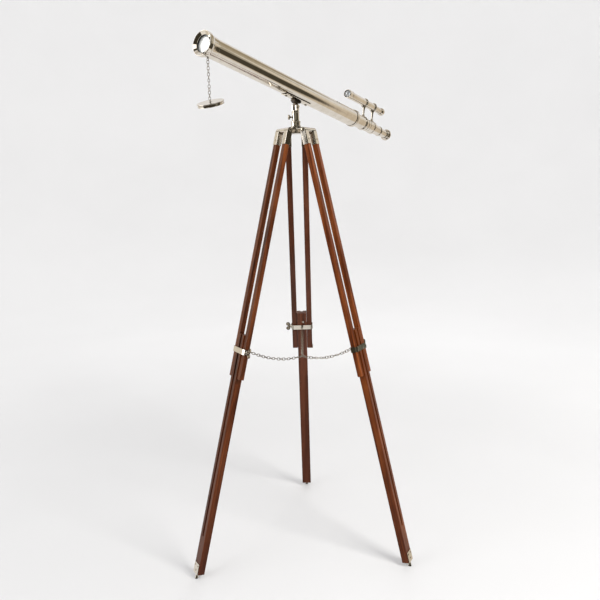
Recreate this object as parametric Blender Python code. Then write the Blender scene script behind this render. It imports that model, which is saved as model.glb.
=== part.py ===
"""Plated floor telescope with a finder, a dust cap on a chain and a wooden tripod.

Metres, +Z up.  Everything is built with the tripod hub's vertical axis on Z and the floor at z = 0, and is
then moved level so that the middle of the whole box stands over the origin.
"""
import math

import bmesh
import bpy
from mathutils import Matrix, Vector

MM = 0.001
GAP = 0.3 * MM
AXIS_EPS = 1e-9

# Tripod layout
HINGE_HEIGHT = 1.407
HINGE_RADIUS = 0.0443
LEGS = {
    "back": (89.4, 0.402),
    "left": (211.9, 0.420),
    "right": (330.5, 0.379),
}
WOOD_END_TO_FLOOR = 0.016
LOWER_LENGTH = 0.787

# Tripod leg sections
ROD_OFFSET = 27.0 * MM
ROD_HALF_WIDTH = 9.5 * MM
ROD_HALF_DEPTH = 8.0 * MM
ROD_TOP = -22.0 * MM
ROD_BOTTOM = -0.794
LOWER_HALF_WIDTH = ROD_OFFSET - ROD_HALF_WIDTH - GAP
LOWER_HALF_DEPTH = 11.5 * MM
GROOVE_HALF_WIDTH = 4.5 * MM
GROOVE_DEPTH = 4.5 * MM
GROOVE_STOP_ABOVE_END = 0.122
FERRULE_WALL = 1.1 * MM
FERRULE_BOTTOM = -45.4 * MM
BARREL_RADIUS = 8.0 * MM
BOLT_RADIUS = 3.0 * MM
BOLT_HEAD_RADIUS = 5.5 * MM
BOLT_HEAD_LENGTH = 3.0 * MM
BAND_CENTRE = -0.705
BAND_HALF_HEIGHT = 8.5 * MM
BAND_WALL = 2.2 * MM
EYE_RADIUS = 4.5 * MM
EYE_HOLE_RADIUS = 2.4 * MM
WING_STEM_RADIUS = 2.4 * MM
SHOE_HALF_WIDTH = 15.5 * MM
SHOE_HEIGHT = 34.0 * MM
SHOE_THICKNESS = 1.8 * MM
TIP_RADIUS = 5.5 * MM
TIP_OFFSET = 5.0 * MM

# Hub and head
HUB_RADIUS = 19.0 * MM
HUB_BOTTOM = 1.3976
HUB_TOP = 1.4191
POST_RADIUS = 11.4 * MM
POST_TOP = 1.4650
STEM_RADIUS = 6.7 * MM
COLLAR_RADIUS = 15.5 * MM
COLLAR_TOP = 1.4370
PAN_SCREW_HEIGHT = 1.4490
PAN_SCREW_AZIMUTH = 190.0
PAN_SCREW_RADIUS = 2.2 * MM
TILT_HEIGHT = 1.4810
TILT_BOLT_RADIUS = 2.6 * MM
CHEEK_INNER = 4.8 * MM
CHEEK_OUTER = 9.0 * MM
CHEEK_RADIUS = 7.5 * MM

# Telescope
AXIS_HEIGHT = 1.5330
AZIMUTH = 38.1
ELEVATION = 11.84
TUBE_RADIUS = 28.0 * MM
TUBE_WALL = 1.5 * MM
TUBE_FRONT = 0.3750
TUBE_REAR = -0.3360
SADDLE_HALF_LENGTH = 0.059
SADDLE_THICKNESS = 3.0 * MM
FINDER_OFFSET = 73.9 * MM
POST_STATIONS = (-0.401, -0.460)
SLEEVE_RADIUS = 22.6 * MM
SLEEVE_RIM_RADIUS = 25.0 * MM
SLEEVE_RIM = (-0.4020, -0.3955)
REAR_SLEEVE_RADIUS = 21.1 * MM
REAR_RIM_RADIUS = 22.4 * MM
FOCUS_RADIUS = 17.2 * MM
EYEPIECE_RADIUS = 14.6 * MM
FINDER_RADIUS = 13.0 * MM
FINDER_RING_RADIUS = 16.6 * MM
POST_BASE_RADIUS = 12.0 * MM
FINDER_RING_HALF_LENGTH = 5.0 * MM
FINDER_DRAW_RADIUS = 11.3 * MM

# Dust cap and chains
CAP_STATION = 0.3740
CAP_NECK_RADIUS = 30.3 * MM
CAP_CHAIN_LENGTH = 0.0965
CAP_INNER_RADIUS = 34.9 * MM
CAP_DEPTH = 9.5 * MM
CHAIN_RADIUS = 1.4 * MM
RING_HEIGHT = 0.667
RING_RADIUS = 7.0 * MM
STRAND_END_RADIUS = 18.0 * MM
STRAND_SAG = 15.0 * MM
LINK_GAP = 1.0 * MM


def clear_scene():
    for obj in list(bpy.data.objects):
        bpy.data.objects.remove(obj, do_unlink=True)


def make_material(name, color, metallic, roughness, transmission=0.0):
    mat = bpy.data.materials.new(name)
    mat.use_nodes = True
    shader = mat.node_tree.nodes["Principled BSDF"]
    shader.inputs["Base Color"].default_value = (*color, 1.0)
    shader.inputs["Metallic"].default_value = metallic
    shader.inputs["Roughness"].default_value = roughness
    shader.inputs["Transmission Weight"].default_value = transmission
    mat.diffuse_color = (*color, 1.0)
    return mat


def add_object(name, mesh, finish, frame=None, smooth=False):
    """Link a mesh as a named object with a material of its own."""
    obj = bpy.data.objects.new(name, mesh)
    bpy.context.scene.collection.objects.link(obj)
    obj.matrix_world = frame if frame is not None else Matrix.Identity(4)
    if finish is not None:
        color, metallic, roughness, transmission = FINISHES[finish]
        mesh.materials.append(make_material(f"{name}_{finish}", color, metallic, roughness, transmission))
    for face in mesh.polygons:
        face.use_smooth = smooth
    return obj


def finish_mesh(name, bm):
    bmesh.ops.recalc_face_normals(bm, faces=bm.faces)
    mesh = bpy.data.meshes.new(name)
    bm.to_mesh(mesh)
    bm.free()
    return mesh


def lathe(name, loop, segments, finish=None, frame=None):
    """Revolve (radius, height) points about local Z: a closed ring, or a solid with both ends on the axis."""
    bm = bmesh.new()
    rings = []
    for radius, height in loop:
        if radius < AXIS_EPS:
            rings.append([bm.verts.new((0.0, 0.0, height))])
            continue
        ring = []
        for step in range(segments):
            angle = 2.0 * math.pi * step / segments
            ring.append(bm.verts.new((radius * math.cos(angle), radius * math.sin(angle), height)))
        rings.append(ring)
    is_ring = all(radius >= AXIS_EPS for radius, _ in loop)
    following = rings[1:] + rings[:1] if is_ring else rings[1:]
    for first, second in zip(rings, following):
        for step in range(segments):
            after = step + 1
            corners = [
                first[step % len(first)], first[after % len(first)],
                second[after % len(second)], second[step % len(second)],
            ]
            corners = list(dict.fromkeys(corners))
            if len(corners) > 2:
                bm.faces.new(corners)
    return add_object(name, finish_mesh(name, bm), finish, frame, smooth=True)


def prism(name, outline, low, high, finish=None, frame=None):
    """Extrude a closed (x, y) outline along local Z."""
    bm = bmesh.new()
    bottom = [bm.verts.new((x, y, low)) for x, y in outline]
    top = [bm.verts.new((x, y, high)) for x, y in outline]
    bm.faces.new(bottom)
    bm.faces.new(top)
    count = len(outline)
    for index in range(count):
        after = (index + 1) % count
        bm.faces.new([bottom[index], bottom[after], top[after], top[index]])
    return add_object(name, finish_mesh(name, bm), finish, frame)


def rounded_rectangle(half_x, half_y, radius, steps):
    """Corner-rounded rectangle outline, anticlockwise."""
    points = []
    for quadrant, (sign_x, sign_y) in enumerate(((1, 1), (-1, 1), (-1, -1), (1, -1))):
        for step in range(steps + 1):
            angle = math.radians(90.0 * (quadrant + step / steps))
            points.append((
                sign_x * (half_x - radius) + radius * math.cos(angle),
                sign_y * (half_y - radius) + radius * math.sin(angle),
            ))
    return points


def circle(radius, segments, centre=(0.0, 0.0)):
    points = []
    for step in range(segments):
        angle = 2.0 * math.pi * step / segments
        points.append((centre[0] + radius * math.cos(angle), centre[1] + radius * math.sin(angle)))
    return points


def box(name, low, high, finish=None, frame=None):
    outline = [(low[0], low[1]), (high[0], low[1]), (high[0], high[1]), (low[0], high[1])]
    return prism(name, outline, low[2], high[2], finish, frame)


def combine(target, other, operation):
    """Fold one solid into another with an exact boolean and remove the second."""
    other.hide_render = True
    other.display_type = "WIRE"
    bpy.context.view_layer.update()
    modifier = target.modifiers.new("combine", "BOOLEAN")
    modifier.operation = operation
    modifier.solver = "EXACT"
    modifier.object = other
    bpy.context.view_layer.update()
    depsgraph = bpy.context.evaluated_depsgraph_get()
    mesh = bpy.data.meshes.new_from_object(target.evaluated_get(depsgraph))
    target.modifiers.clear()
    old_mesh = target.data
    target.data = mesh
    bpy.data.meshes.remove(old_mesh)
    bpy.data.objects.remove(other, do_unlink=True)


def along_x(frame=None):
    """A frame whose local Z runs along the given frame's +X."""
    turn = Matrix.Rotation(math.radians(90.0), 4, "Y")
    return (frame if frame is not None else Matrix.Identity(4)) @ turn


def shifted(frame, x=0.0, y=0.0, z=0.0):
    return frame @ Matrix.Translation((x, y, z))


def joint_empty(name, frame):
    empty = bpy.data.objects.new(name, None)
    bpy.context.scene.collection.objects.link(empty)
    empty.matrix_world = frame
    return empty


def hang_on(empty, objects):
    """Parent pieces to a joint's empty without moving them."""
    bpy.context.view_layer.update()
    for obj in objects:
        obj.parent = empty
        obj.matrix_parent_inverse = empty.matrix_world.inverted()


def frame_from_axes(x_axis, y_axis, z_axis, origin):
    frame = Matrix.Identity(4)
    for column, axis in enumerate((x_axis, y_axis, z_axis)):
        for row in range(3):
            frame[row][column] = axis[row]
    frame.translation = origin
    return frame


# ---------------------------------------------------------------- frames

def leg_frame(azimuth, foot_radius):
    """Hinge frame: X along the hinge bolt, Y outward, Z up the leg.  Also the hinge-to-floor length."""
    angle = math.radians(azimuth)
    outward = Vector((math.cos(angle), math.sin(angle), 0.0))
    tangent = Vector((-math.sin(angle), math.cos(angle), 0.0))
    hinge = outward * HINGE_RADIUS + Vector((0.0, 0.0, HINGE_HEIGHT))
    up_leg = hinge - outward * foot_radius
    length = up_leg.length
    up_leg.normalize()
    return frame_from_axes(-tangent, up_leg.cross(-tangent), up_leg, hinge), length


def telescope_frame():
    """Tube frame: X along the tilt bolt, Y up across the tube, Z toward the objective."""
    azimuth = math.radians(AZIMUTH)
    elevation = math.radians(ELEVATION)
    forward = Vector((
        -math.sin(azimuth) * math.cos(elevation),
        -math.cos(azimuth) * math.cos(elevation),
        math.sin(elevation),
    ))
    across = Vector((math.cos(azimuth), -math.sin(azimuth), 0.0))
    return frame_from_axes(across, forward.cross(across), forward, Vector((0.0, 0.0, AXIS_HEIGHT)))


# ---------------------------------------------------------------- tripod head

def build_hub(frames):
    lug_half_width = ROD_OFFSET - ROD_HALF_WIDTH - FERRULE_WALL - 2.0 * GAP
    flange = 2.4 * MM
    bottom_rim = HUB_RADIUS + 2.5 * MM
    hub = lathe("tripod_hub", [
        (0.0, HUB_BOTTOM),
        (bottom_rim - 0.8 * MM, HUB_BOTTOM),
        (bottom_rim, HUB_BOTTOM + 0.8 * MM),
        (bottom_rim, HUB_BOTTOM + flange),
        (HUB_RADIUS, HUB_BOTTOM + flange + 0.6 * MM),
        (HUB_RADIUS, HUB_TOP - 1.0 * MM),
        (HUB_RADIUS - 1.0 * MM, HUB_TOP),
        (0.0, HUB_TOP),
    ], 24, "plated")
    for name, (frame, _) in frames.items():
        level = Matrix.Translation(frame.translation) @ Matrix.Rotation(
            math.radians(LEGS[name][0]) - math.pi / 2.0, 4, "Z")
        web_half_height = 6.5 * MM
        web = box("web", (-lug_half_width, -HINGE_RADIUS + 4.0 * MM, -web_half_height),
                  (lug_half_width, 0.0, web_half_height), frame=level)
        combine(hub, web, "UNION")
        barrel = prism("barrel", circle(BARREL_RADIUS, 20), -lug_half_width, lug_half_width, frame=along_x(level))
        combine(hub, barrel, "UNION")
        hole = prism("hole", circle(BOLT_RADIUS + GAP, 16), -0.03, 0.03, frame=along_x(level))
        combine(hub, hole, "DIFFERENCE")
    return hub


def build_head(tube_frame):
    """Socket post, pan screw, yoke, tilt block and tilt bolt."""
    base = HUB_TOP + GAP
    bore = STEM_RADIUS + GAP
    post = lathe("socket_post", [
        (bore, base), (COLLAR_RADIUS, base), (COLLAR_RADIUS, COLLAR_TOP - 1.2 * MM),
        (COLLAR_RADIUS - 1.2 * MM, COLLAR_TOP), (POST_RADIUS, COLLAR_TOP), (POST_RADIUS, POST_TOP - 1.0 * MM),
        (POST_RADIUS - 1.0 * MM, POST_TOP), (bore, POST_TOP),
    ], 24, "plated")
    pan_axis = Matrix.Translation((0.0, 0.0, PAN_SCREW_HEIGHT)) @ along_x(
        Matrix.Rotation(math.radians(PAN_SCREW_AZIMUTH), 4, "Z"))
    hole = prism("hole", circle(PAN_SCREW_RADIUS + GAP, 12), 3.0 * MM, 15.0 * MM, frame=pan_axis)
    combine(post, hole, "DIFFERENCE")

    head_start = 19.0 * MM
    screw = lathe("pan_thumb_screw", [
        (0.0, STEM_RADIUS + GAP), (PAN_SCREW_RADIUS, STEM_RADIUS + GAP), (PAN_SCREW_RADIUS, head_start - 3.0 * MM),
        (4.0 * MM, head_start), (7.5 * MM, head_start + 1.0 * MM), (7.5 * MM, head_start + 4.6 * MM),
        (6.3 * MM, head_start + 5.8 * MM), (0.0, head_start + 5.8 * MM),
    ], 12, "plated", pan_axis)

    stem_bottom = 1.4235
    flange_bottom = POST_TOP + GAP
    flange_top = flange_bottom + 4.2 * MM
    yoke = lathe("yoke", [
        (0.0, stem_bottom), (STEM_RADIUS, stem_bottom), (STEM_RADIUS, flange_bottom),
        (11.0 * MM, flange_bottom), (11.0 * MM, flange_top - 0.8 * MM), (10.2 * MM, flange_top), (0.0, flange_top),
    ], 24, "plated")
    tilt_level = Matrix.Translation((0.0, 0.0, TILT_HEIGHT)) @ Matrix.Rotation(math.radians(-AZIMUTH), 4, "Z")
    tilt_axis = along_x(tilt_level)
    cheek_drop = TILT_HEIGHT - flange_top + 1.0 * MM
    outline = [(cheek_drop, -CHEEK_RADIUS), (cheek_drop, CHEEK_RADIUS)]
    for step in range(13):
        angle = math.radians(90.0 + 15.0 * step)
        outline.append((CHEEK_RADIUS * math.cos(angle), CHEEK_RADIUS * math.sin(angle)))
    for low, high in ((-CHEEK_OUTER, -CHEEK_INNER), (CHEEK_INNER, CHEEK_OUTER)):
        combine(yoke, prism("cheek", outline, low, high, frame=tilt_axis), "UNION")
    hole = prism("hole", circle(TILT_BOLT_RADIUS + GAP, 16), -0.02, 0.02, frame=tilt_axis)
    combine(yoke, hole, "DIFFERENCE")

    rise = AXIS_HEIGHT - TILT_HEIGHT
    elevation = math.radians(ELEVATION)
    station = -rise * math.sin(elevation)
    drop = -rise * math.cos(elevation)
    block_top = -(TUBE_RADIUS + SADDLE_THICKNESS + 2.0 * GAP)
    block_bottom = block_top - 9.0 * MM
    block_frame = shifted(tube_frame, 0.0, 0.0, station)
    block = box("tilt_block", (-8.5 * MM, block_bottom, -16.0 * MM), (8.5 * MM, block_top, 16.0 * MM),
                "dark", block_frame)
    tongue_radius = 7.0 * MM
    tongue_half = CHEEK_INNER - GAP
    tongue = prism("tongue", circle(tongue_radius, 20), -tongue_half, tongue_half,
                   frame=along_x(shifted(block_frame, 0.0, drop, 0.0)))
    neck = box("neck", (-tongue_half, drop, -tongue_radius), (tongue_half, block_bottom + 1.0 * MM, tongue_radius),
               frame=block_frame)
    combine(block, tongue, "UNION")
    combine(block, neck, "UNION")
    hole = prism("hole", circle(TILT_BOLT_RADIUS + GAP, 16), -0.02, 0.02, frame=tilt_axis)
    combine(block, hole, "DIFFERENCE")

    head = CHEEK_OUTER + GAP
    bolt = lathe("tilt_bolt", [
        (0.0, -head - 4.0 * MM), (4.6 * MM, -head - 4.0 * MM), (4.6 * MM, -head), (TILT_BOLT_RADIUS, -head),
        (TILT_BOLT_RADIUS, head), (5.6 * MM, head), (5.6 * MM, head + 3.2 * MM), (4.2 * MM, head + 4.6 * MM),
        (0.0, head + 4.6 * MM),
    ], 16, "plated", tilt_axis)
    return screw, yoke, block, bolt, pan_axis, tilt_axis, station


def build_saddle(tube_frame, station):
    """Curved plate hugging the underside of the main tube."""
    inner = TUBE_RADIUS + GAP
    outer = inner + SADDLE_THICKNESS
    spread = 52.0
    steps = 10
    arc = [math.radians(-90.0 + spread * (2.0 * step / steps - 1.0) * 0.5) for step in range(steps + 1)]
    outline = [(outer * math.cos(a), outer * math.sin(a)) for a in arc]
    outline += [(inner * math.cos(a), inner * math.sin(a)) for a in reversed(arc)]
    saddle = prism("saddle_plate", outline, station - SADDLE_HALF_LENGTH, station + SADDLE_HALF_LENGTH,
                   "plated", tube_frame)
    flat = box("flat", (-8.6 * MM, -outer - 3.0 * MM, station - 16.2 * MM),
               (8.6 * MM, -(TUBE_RADIUS + SADDLE_THICKNESS + GAP), station + 16.2 * MM), frame=tube_frame)
    combine(saddle, flat, "DIFFERENCE")
    return saddle


# ---------------------------------------------------------------- telescope

def tube_loop(outer, inner, rear, front):
    return [(inner, rear), (outer, rear), (outer, front), (inner, front)]


def build_optical_tube(tube_frame):
    slip = TUBE_RADIUS + GAP
    main_tube = lathe("main_tube", tube_loop(TUBE_RADIUS, TUBE_RADIUS - TUBE_WALL, TUBE_REAR, TUBE_FRONT),
                      32, "plated", tube_frame)
    opening = 23.9 * MM
    lens_seat = 26.2 * MM
    cell = lathe("objective_cell", [
        (slip, 0.3600), (29.2 * MM, 0.3600), (29.4 * MM, 0.3660), (30.0 * MM, 0.3740), (30.7 * MM, 0.3815),
        (31.4 * MM, 0.3845), (33.4 * MM, 0.3870), (34.4 * MM, 0.3900), (34.4 * MM, 0.3995), (33.4 * MM, 0.4013),
        (opening + 0.6 * MM, 0.3965), (opening, 0.3960), (opening, 0.3945), (lens_seat, 0.3945),
        (lens_seat, TUBE_FRONT + GAP), (slip, TUBE_FRONT + GAP),
    ], 32, "plated", tube_frame)
    lens_edge = lens_seat - GAP
    doublet = lathe("objective_doublet", [
        (0.0, 0.3825), (12.0 * MM, 0.3819), (lens_edge, 0.3800), (lens_edge, 0.3893), (22.0 * MM, 0.3905),
        (15.0 * MM, 0.3920), (8.0 * MM, 0.3930), (0.0, 0.3934),
    ], 24, "glass", tube_frame)

    collar = lathe("tail_collar", [
        (slip, -0.3240), (29.6 * MM, -0.3250), (30.2 * MM, -0.3330), (29.6 * MM, -0.3380), (26.5 * MM, -0.3400),
        (SLEEVE_RADIUS + GAP, -0.3400), (SLEEVE_RADIUS + GAP, TUBE_REAR - GAP), (slip, TUBE_REAR - GAP),
    ], 32, "plated", tube_frame)
    rim_rear, rim_front = SLEEVE_RIM
    sleeve_bore = REAR_SLEEVE_RADIUS + GAP
    sleeve = lathe("tail_sleeve", [
        (sleeve_bore, -0.3050), (SLEEVE_RADIUS, -0.3050), (SLEEVE_RADIUS, rim_front),
        (SLEEVE_RIM_RADIUS - 0.5 * MM, rim_front - 0.6 * MM), (SLEEVE_RIM_RADIUS, rim_front - 1.8 * MM),
        (SLEEVE_RIM_RADIUS, rim_rear + 1.4 * MM), (SLEEVE_RIM_RADIUS - 0.7 * MM, rim_rear), (sleeve_bore, rim_rear),
    ], 24, "plated", tube_frame)
    rear_bore = FOCUS_RADIUS + GAP
    rear = lathe("rear_sleeve", [
        (rear_bore, -0.3850), (REAR_SLEEVE_RADIUS, -0.3850), (REAR_SLEEVE_RADIUS, -0.4150),
        (20.3 * MM, -0.4160), (20.3 * MM, -0.4175), (REAR_SLEEVE_RADIUS, -0.4185), (REAR_SLEEVE_RADIUS, -0.4560),
        (REAR_RIM_RADIUS, -0.4575), (REAR_RIM_RADIUS, -0.4675), (21.4 * MM, -0.4690), (rear_bore, -0.4690),
    ], 24, "plated", tube_frame)
    focus_bore = EYEPIECE_RADIUS + GAP
    focus = lathe("focus_tube", [
        (focus_bore, -0.3850), (FOCUS_RADIUS, -0.3850), (FOCUS_RADIUS, -0.5105), (18.2 * MM, -0.5115),
        (18.2 * MM, -0.5145), (17.4 * MM, -0.5155), (focus_bore, -0.5155),
    ], 24, "plated", tube_frame)
    eye_tube = lathe("eyepiece_tube", tube_loop(EYEPIECE_RADIUS, 12.8 * MM, -0.5600, -0.4600),
                     24, "plated", tube_frame)
    cup_bore = EYEPIECE_RADIUS + GAP
    eye_cup = lathe("eye_cup", [
        (cup_bore, -0.5555), (16.0 * MM, -0.5555), (16.4 * MM, -0.5600), (18.8 * MM, -0.5635), (20.6 * MM, -0.5665),
        (21.0 * MM, -0.5690), (21.0 * MM, -0.5725), (20.0 * MM, -0.5755), (12.0 * MM, -0.5735), (6.0 * MM, -0.5705),
        (6.0 * MM, -0.5690), (11.4 * MM, -0.5690), (11.4 * MM, -0.5603), (cup_bore, -0.5603),
    ], 24, "plated", tube_frame)
    eye_lens = lathe("eye_lens", [
        (0.0, -0.5675), (6.0 * MM, -0.5670), (11.1 * MM, -0.5655), (11.1 * MM, -0.5620), (0.0, -0.5620),
    ], 24, "glass", tube_frame)
    field_lens = lathe("field_lens", [
        (0.0, -0.4890), (12.5 * MM, -0.4890), (12.5 * MM, -0.4865), (7.0 * MM, -0.4850), (0.0, -0.4845),
    ], 24, "glass", tube_frame)
    fixed = [main_tube, cell, doublet, collar, sleeve, rear]
    return fixed, focus, [eye_tube, eye_cup, eye_lens, field_lens]


def ring_loop(station, tube_radius):
    """Profile of one raised ring on the finder, from its rear end to its front end."""
    rear = station - FINDER_RING_HALF_LENGTH
    front = station + FINDER_RING_HALF_LENGTH
    return [
        (tube_radius, rear), (FINDER_RING_RADIUS - 1.4 * MM, rear + 1.0 * MM), (FINDER_RING_RADIUS, rear + 2.8 * MM),
        (FINDER_RING_RADIUS, front - 2.8 * MM), (FINDER_RING_RADIUS - 1.4 * MM, front - 1.0 * MM),
        (tube_radius, front),
    ]


def stepped_cutter(low, high, low_radius, high_radius, rim, rim_radius, frame):
    """Solid of revolution that clears a tube with one raised rim, used to shape a post's saddle."""
    rear, front = rim
    return lathe("cutter", [
        (0.0, low), (low_radius + GAP, low), (low_radius + GAP, rear - GAP), (rim_radius + GAP, rear - GAP),
        (rim_radius + GAP, front + GAP), (high_radius + GAP, front + GAP), (high_radius + GAP, high), (0.0, high),
    ], 48, frame=frame)


def build_finder(tube_frame):
    frame = shifted(tube_frame, 0.0, FINDER_OFFSET, 0.0)
    bore = FINDER_DRAW_RADIUS + GAP
    slip = FINDER_RADIUS + GAP
    lens_radius = 12.9 * MM
    cell = lathe("finder_cell", [
        (slip, -0.3100), (14.4 * MM, -0.3100), (14.8 * MM, -0.3080), (14.8 * MM, -0.2900), (14.2 * MM, -0.2865),
        (lens_radius + GAP, -0.2865), (lens_radius + GAP, -0.3020), (slip, -0.3020),
    ], 20, "plated", frame)
    objective = lathe("finder_objective", [
        (0.0, -0.3000), (lens_radius, -0.3000), (lens_radius, -0.2900), (10.8 * MM, -0.2868), (7.6 * MM, -0.2845),
        (4.0 * MM, -0.2830), (0.0, -0.2825),
    ], 24, "glass", frame)
    front_station, rear_station = POST_STATIONS
    body = lathe("finder_body", [(bore, rear_station - FINDER_RING_HALF_LENGTH)]
                 + ring_loop(rear_station, FINDER_RADIUS) + ring_loop(front_station, FINDER_RADIUS)
                 + [(FINDER_RADIUS, -0.3005), (bore, -0.3005)], 20, "plated", frame)
    draw = lathe("finder_draw", tube_loop(FINDER_DRAW_RADIUS, 10.0 * MM, -0.5130, -0.4250), 24, "plated", frame)
    slide = FINDER_DRAW_RADIUS + GAP
    eye_ring = lathe("finder_eye_ring", [
        (slide, -0.5070), (12.4 * MM, -0.5080), (13.4 * MM, -0.5120), (14.0 * MM, -0.5170), (14.0 * MM, -0.5220),
        (13.0 * MM, -0.5250), (7.5 * MM, -0.5235), (4.5 * MM, -0.5205), (4.5 * MM, -0.5190), (10.0 * MM, -0.5190),
        (10.0 * MM, -0.5133), (slide, -0.5133),
    ], 24, "plated", frame)
    eye_lens = lathe("finder_eye_lens", [
        (0.0, -0.5115), (9.7 * MM, -0.5105), (9.7 * MM, -0.5080), (0.0, -0.5080),
    ], 20, "glass", frame)

    reach = 0.03
    rear_cut = REAR_RIM_RADIUS + GAP
    stage_cutters = (
        stepped_cutter(front_station - reach, front_station + reach, REAR_SLEEVE_RADIUS, SLEEVE_RADIUS,
                       (front_station - reach + GAP + 1.0 * MM, SLEEVE_RIM[1]), SLEEVE_RIM_RADIUS, tube_frame),
        prism("cutter", circle(rear_cut, 48), rear_station - reach, rear_station + reach, frame=tube_frame),
    )
    posts = []
    names = ("finder_post_front", "finder_post_rear")
    stages = (SLEEVE_RADIUS, REAR_SLEEVE_RADIUS)
    for name, station, stage, stage_cutter in zip(names, POST_STATIONS, stages, stage_cutters):
        low = stage - 5.0 * MM
        high = FINDER_OFFSET - FINDER_RADIUS + 4.0 * MM
        middle = (low + high) / 2.0
        axis = shifted(tube_frame, 0.0, 0.0, station) @ Matrix.Rotation(math.radians(-90.0), 4, "X")
        post = lathe(name, [
            (0.0, low), (POST_BASE_RADIUS, low), (POST_BASE_RADIUS, stage - 1.0 * MM), (9.5 * MM, stage + 3.0 * MM),
            (6.0 * MM, stage + 8.0 * MM), (3.9 * MM, middle - 3.0 * MM), (3.6 * MM, middle),
            (3.9 * MM, middle + 3.0 * MM), (6.0 * MM, FINDER_OFFSET - FINDER_RADIUS - 8.0 * MM),
            (9.5 * MM, FINDER_OFFSET - FINDER_RADIUS - 3.0 * MM), (12.5 * MM, high), (0.0, high),
        ], 20, "plated", axis)
        ring = (station - FINDER_RING_HALF_LENGTH, station + FINDER_RING_HALF_LENGTH)
        top_cutter = stepped_cutter(station - reach, station + reach, FINDER_RADIUS, FINDER_RADIUS,
                                    ring, FINDER_RING_RADIUS, frame)
        for cutter in (stage_cutter, top_cutter):
            combine(post, cutter, "DIFFERENCE")
        for face in post.data.polygons:
            face.use_smooth = True
        posts.append(post)
    return [cell, objective, body] + posts, [draw, eye_ring, eye_lens]


def torus(name, major, minor, finish, frame, major_segments=20, minor_segments=8):
    """Ring whose hole looks along local Z."""
    loop = []
    for step in range(minor_segments):
        angle = 2.0 * math.pi * step / minor_segments
        loop.append((major + minor * math.cos(angle), minor * math.sin(angle)))
    return lathe(name, loop, major_segments, finish, frame)


def build_dust_cap(tube_frame):
    """Eyelet under the objective, hanging chain, and the cap with its loop."""
    eyelet_radius = 3.0 * MM
    wire = 0.8 * MM
    root = -CAP_NECK_RADIUS - GAP
    eyelet_frame = shifted(tube_frame, 0.0, root - eyelet_radius - 1.2 * MM, CAP_STATION)
    eyelet = torus("cap_eyelet", eyelet_radius, wire, "plated", along_x(eyelet_frame))
    peg = prism("peg", circle(1.4 * MM, 10), 0.0, 1.6 * MM,
                frame=shifted(tube_frame, 0.0, root - 1.6 * MM, CAP_STATION) @ Matrix.Rotation(
                    math.radians(-90.0), 4, "X"))
    combine(eyelet, peg, "UNION")

    top = eyelet_frame.translation + Vector((0.0, 0.0, -eyelet_radius - wire - LINK_GAP))
    chain_frame = Matrix.Translation(top)
    chain = lathe("cap_chain", [
        (0.0, -CAP_CHAIN_LENGTH), (CHAIN_RADIUS, -CAP_CHAIN_LENGTH), (CHAIN_RADIUS, 0.0), (0.0, 0.0),
    ], 8, "plated", chain_frame)
    loop_height = 2.0 * (2.4 * MM + wire)
    cap_pivot = Matrix.Translation(top - Vector((0.0, 0.0, CAP_CHAIN_LENGTH + LINK_GAP)))
    cap_tilt = Matrix.Rotation(math.radians(17.0), 4, "X") @ Matrix.Rotation(math.radians(-8.0), 4, "Y")
    disc_top = -loop_height
    inner = CAP_INNER_RADIUS
    wall = inner + 1.5 * MM
    rim = wall + 1.4 * MM
    cap = lathe("dust_cap", [
        (0.0, disc_top), (rim - 0.6 * MM, disc_top), (rim, disc_top - 0.6 * MM), (rim, disc_top - 1.8 * MM),
        (wall, disc_top - 2.2 * MM), (wall, disc_top - CAP_DEPTH), (inner, disc_top - CAP_DEPTH),
        (inner, disc_top - 1.8 * MM), (0.0, disc_top - 1.8 * MM),
    ], 32, "plated", cap_pivot @ cap_tilt)
    loop = torus("loop", 2.4 * MM, wire, None,
                 along_x(shifted(cap_pivot @ cap_tilt, 0.0, 0.0, -2.4 * MM - wire)), 16)
    stud = prism("stud", circle(1.6 * MM, 10), disc_top - 1.0 * MM, disc_top + 1.4 * MM, frame=cap_pivot @ cap_tilt)
    combine(cap, stud, "UNION")
    combine(cap, loop, "UNION")
    return eyelet, chain, cap, chain_frame, cap_pivot


# ---------------------------------------------------------------- tripod legs

def build_ferrule(name, frame, side):
    half_x = ROD_HALF_WIDTH + GAP + FERRULE_WALL
    half_y = ROD_HALF_DEPTH + GAP + FERRULE_WALL
    place = shifted(frame, side * ROD_OFFSET, 0.0, 0.0)
    ferrule = prism(name, rounded_rectangle(half_x, half_y, 1.2 * MM, 2), FERRULE_BOTTOM, -4.0 * MM, "plated", place)
    barrel = prism("barrel", circle(BARREL_RADIUS, 20), -half_x, half_x, frame=along_x(place))
    combine(ferrule, barrel, "UNION")
    pocket = box("pocket", (-ROD_HALF_WIDTH - GAP, -ROD_HALF_DEPTH - GAP, FERRULE_BOTTOM - 5.0 * MM),
                 (ROD_HALF_WIDTH + GAP, ROD_HALF_DEPTH + GAP, ROD_TOP + GAP), frame=place)
    combine(ferrule, pocket, "DIFFERENCE")
    hole = prism("hole", circle(BOLT_RADIUS + GAP, 16), -0.02, 0.02, frame=along_x(place))
    combine(ferrule, hole, "DIFFERENCE")
    return ferrule


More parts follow.
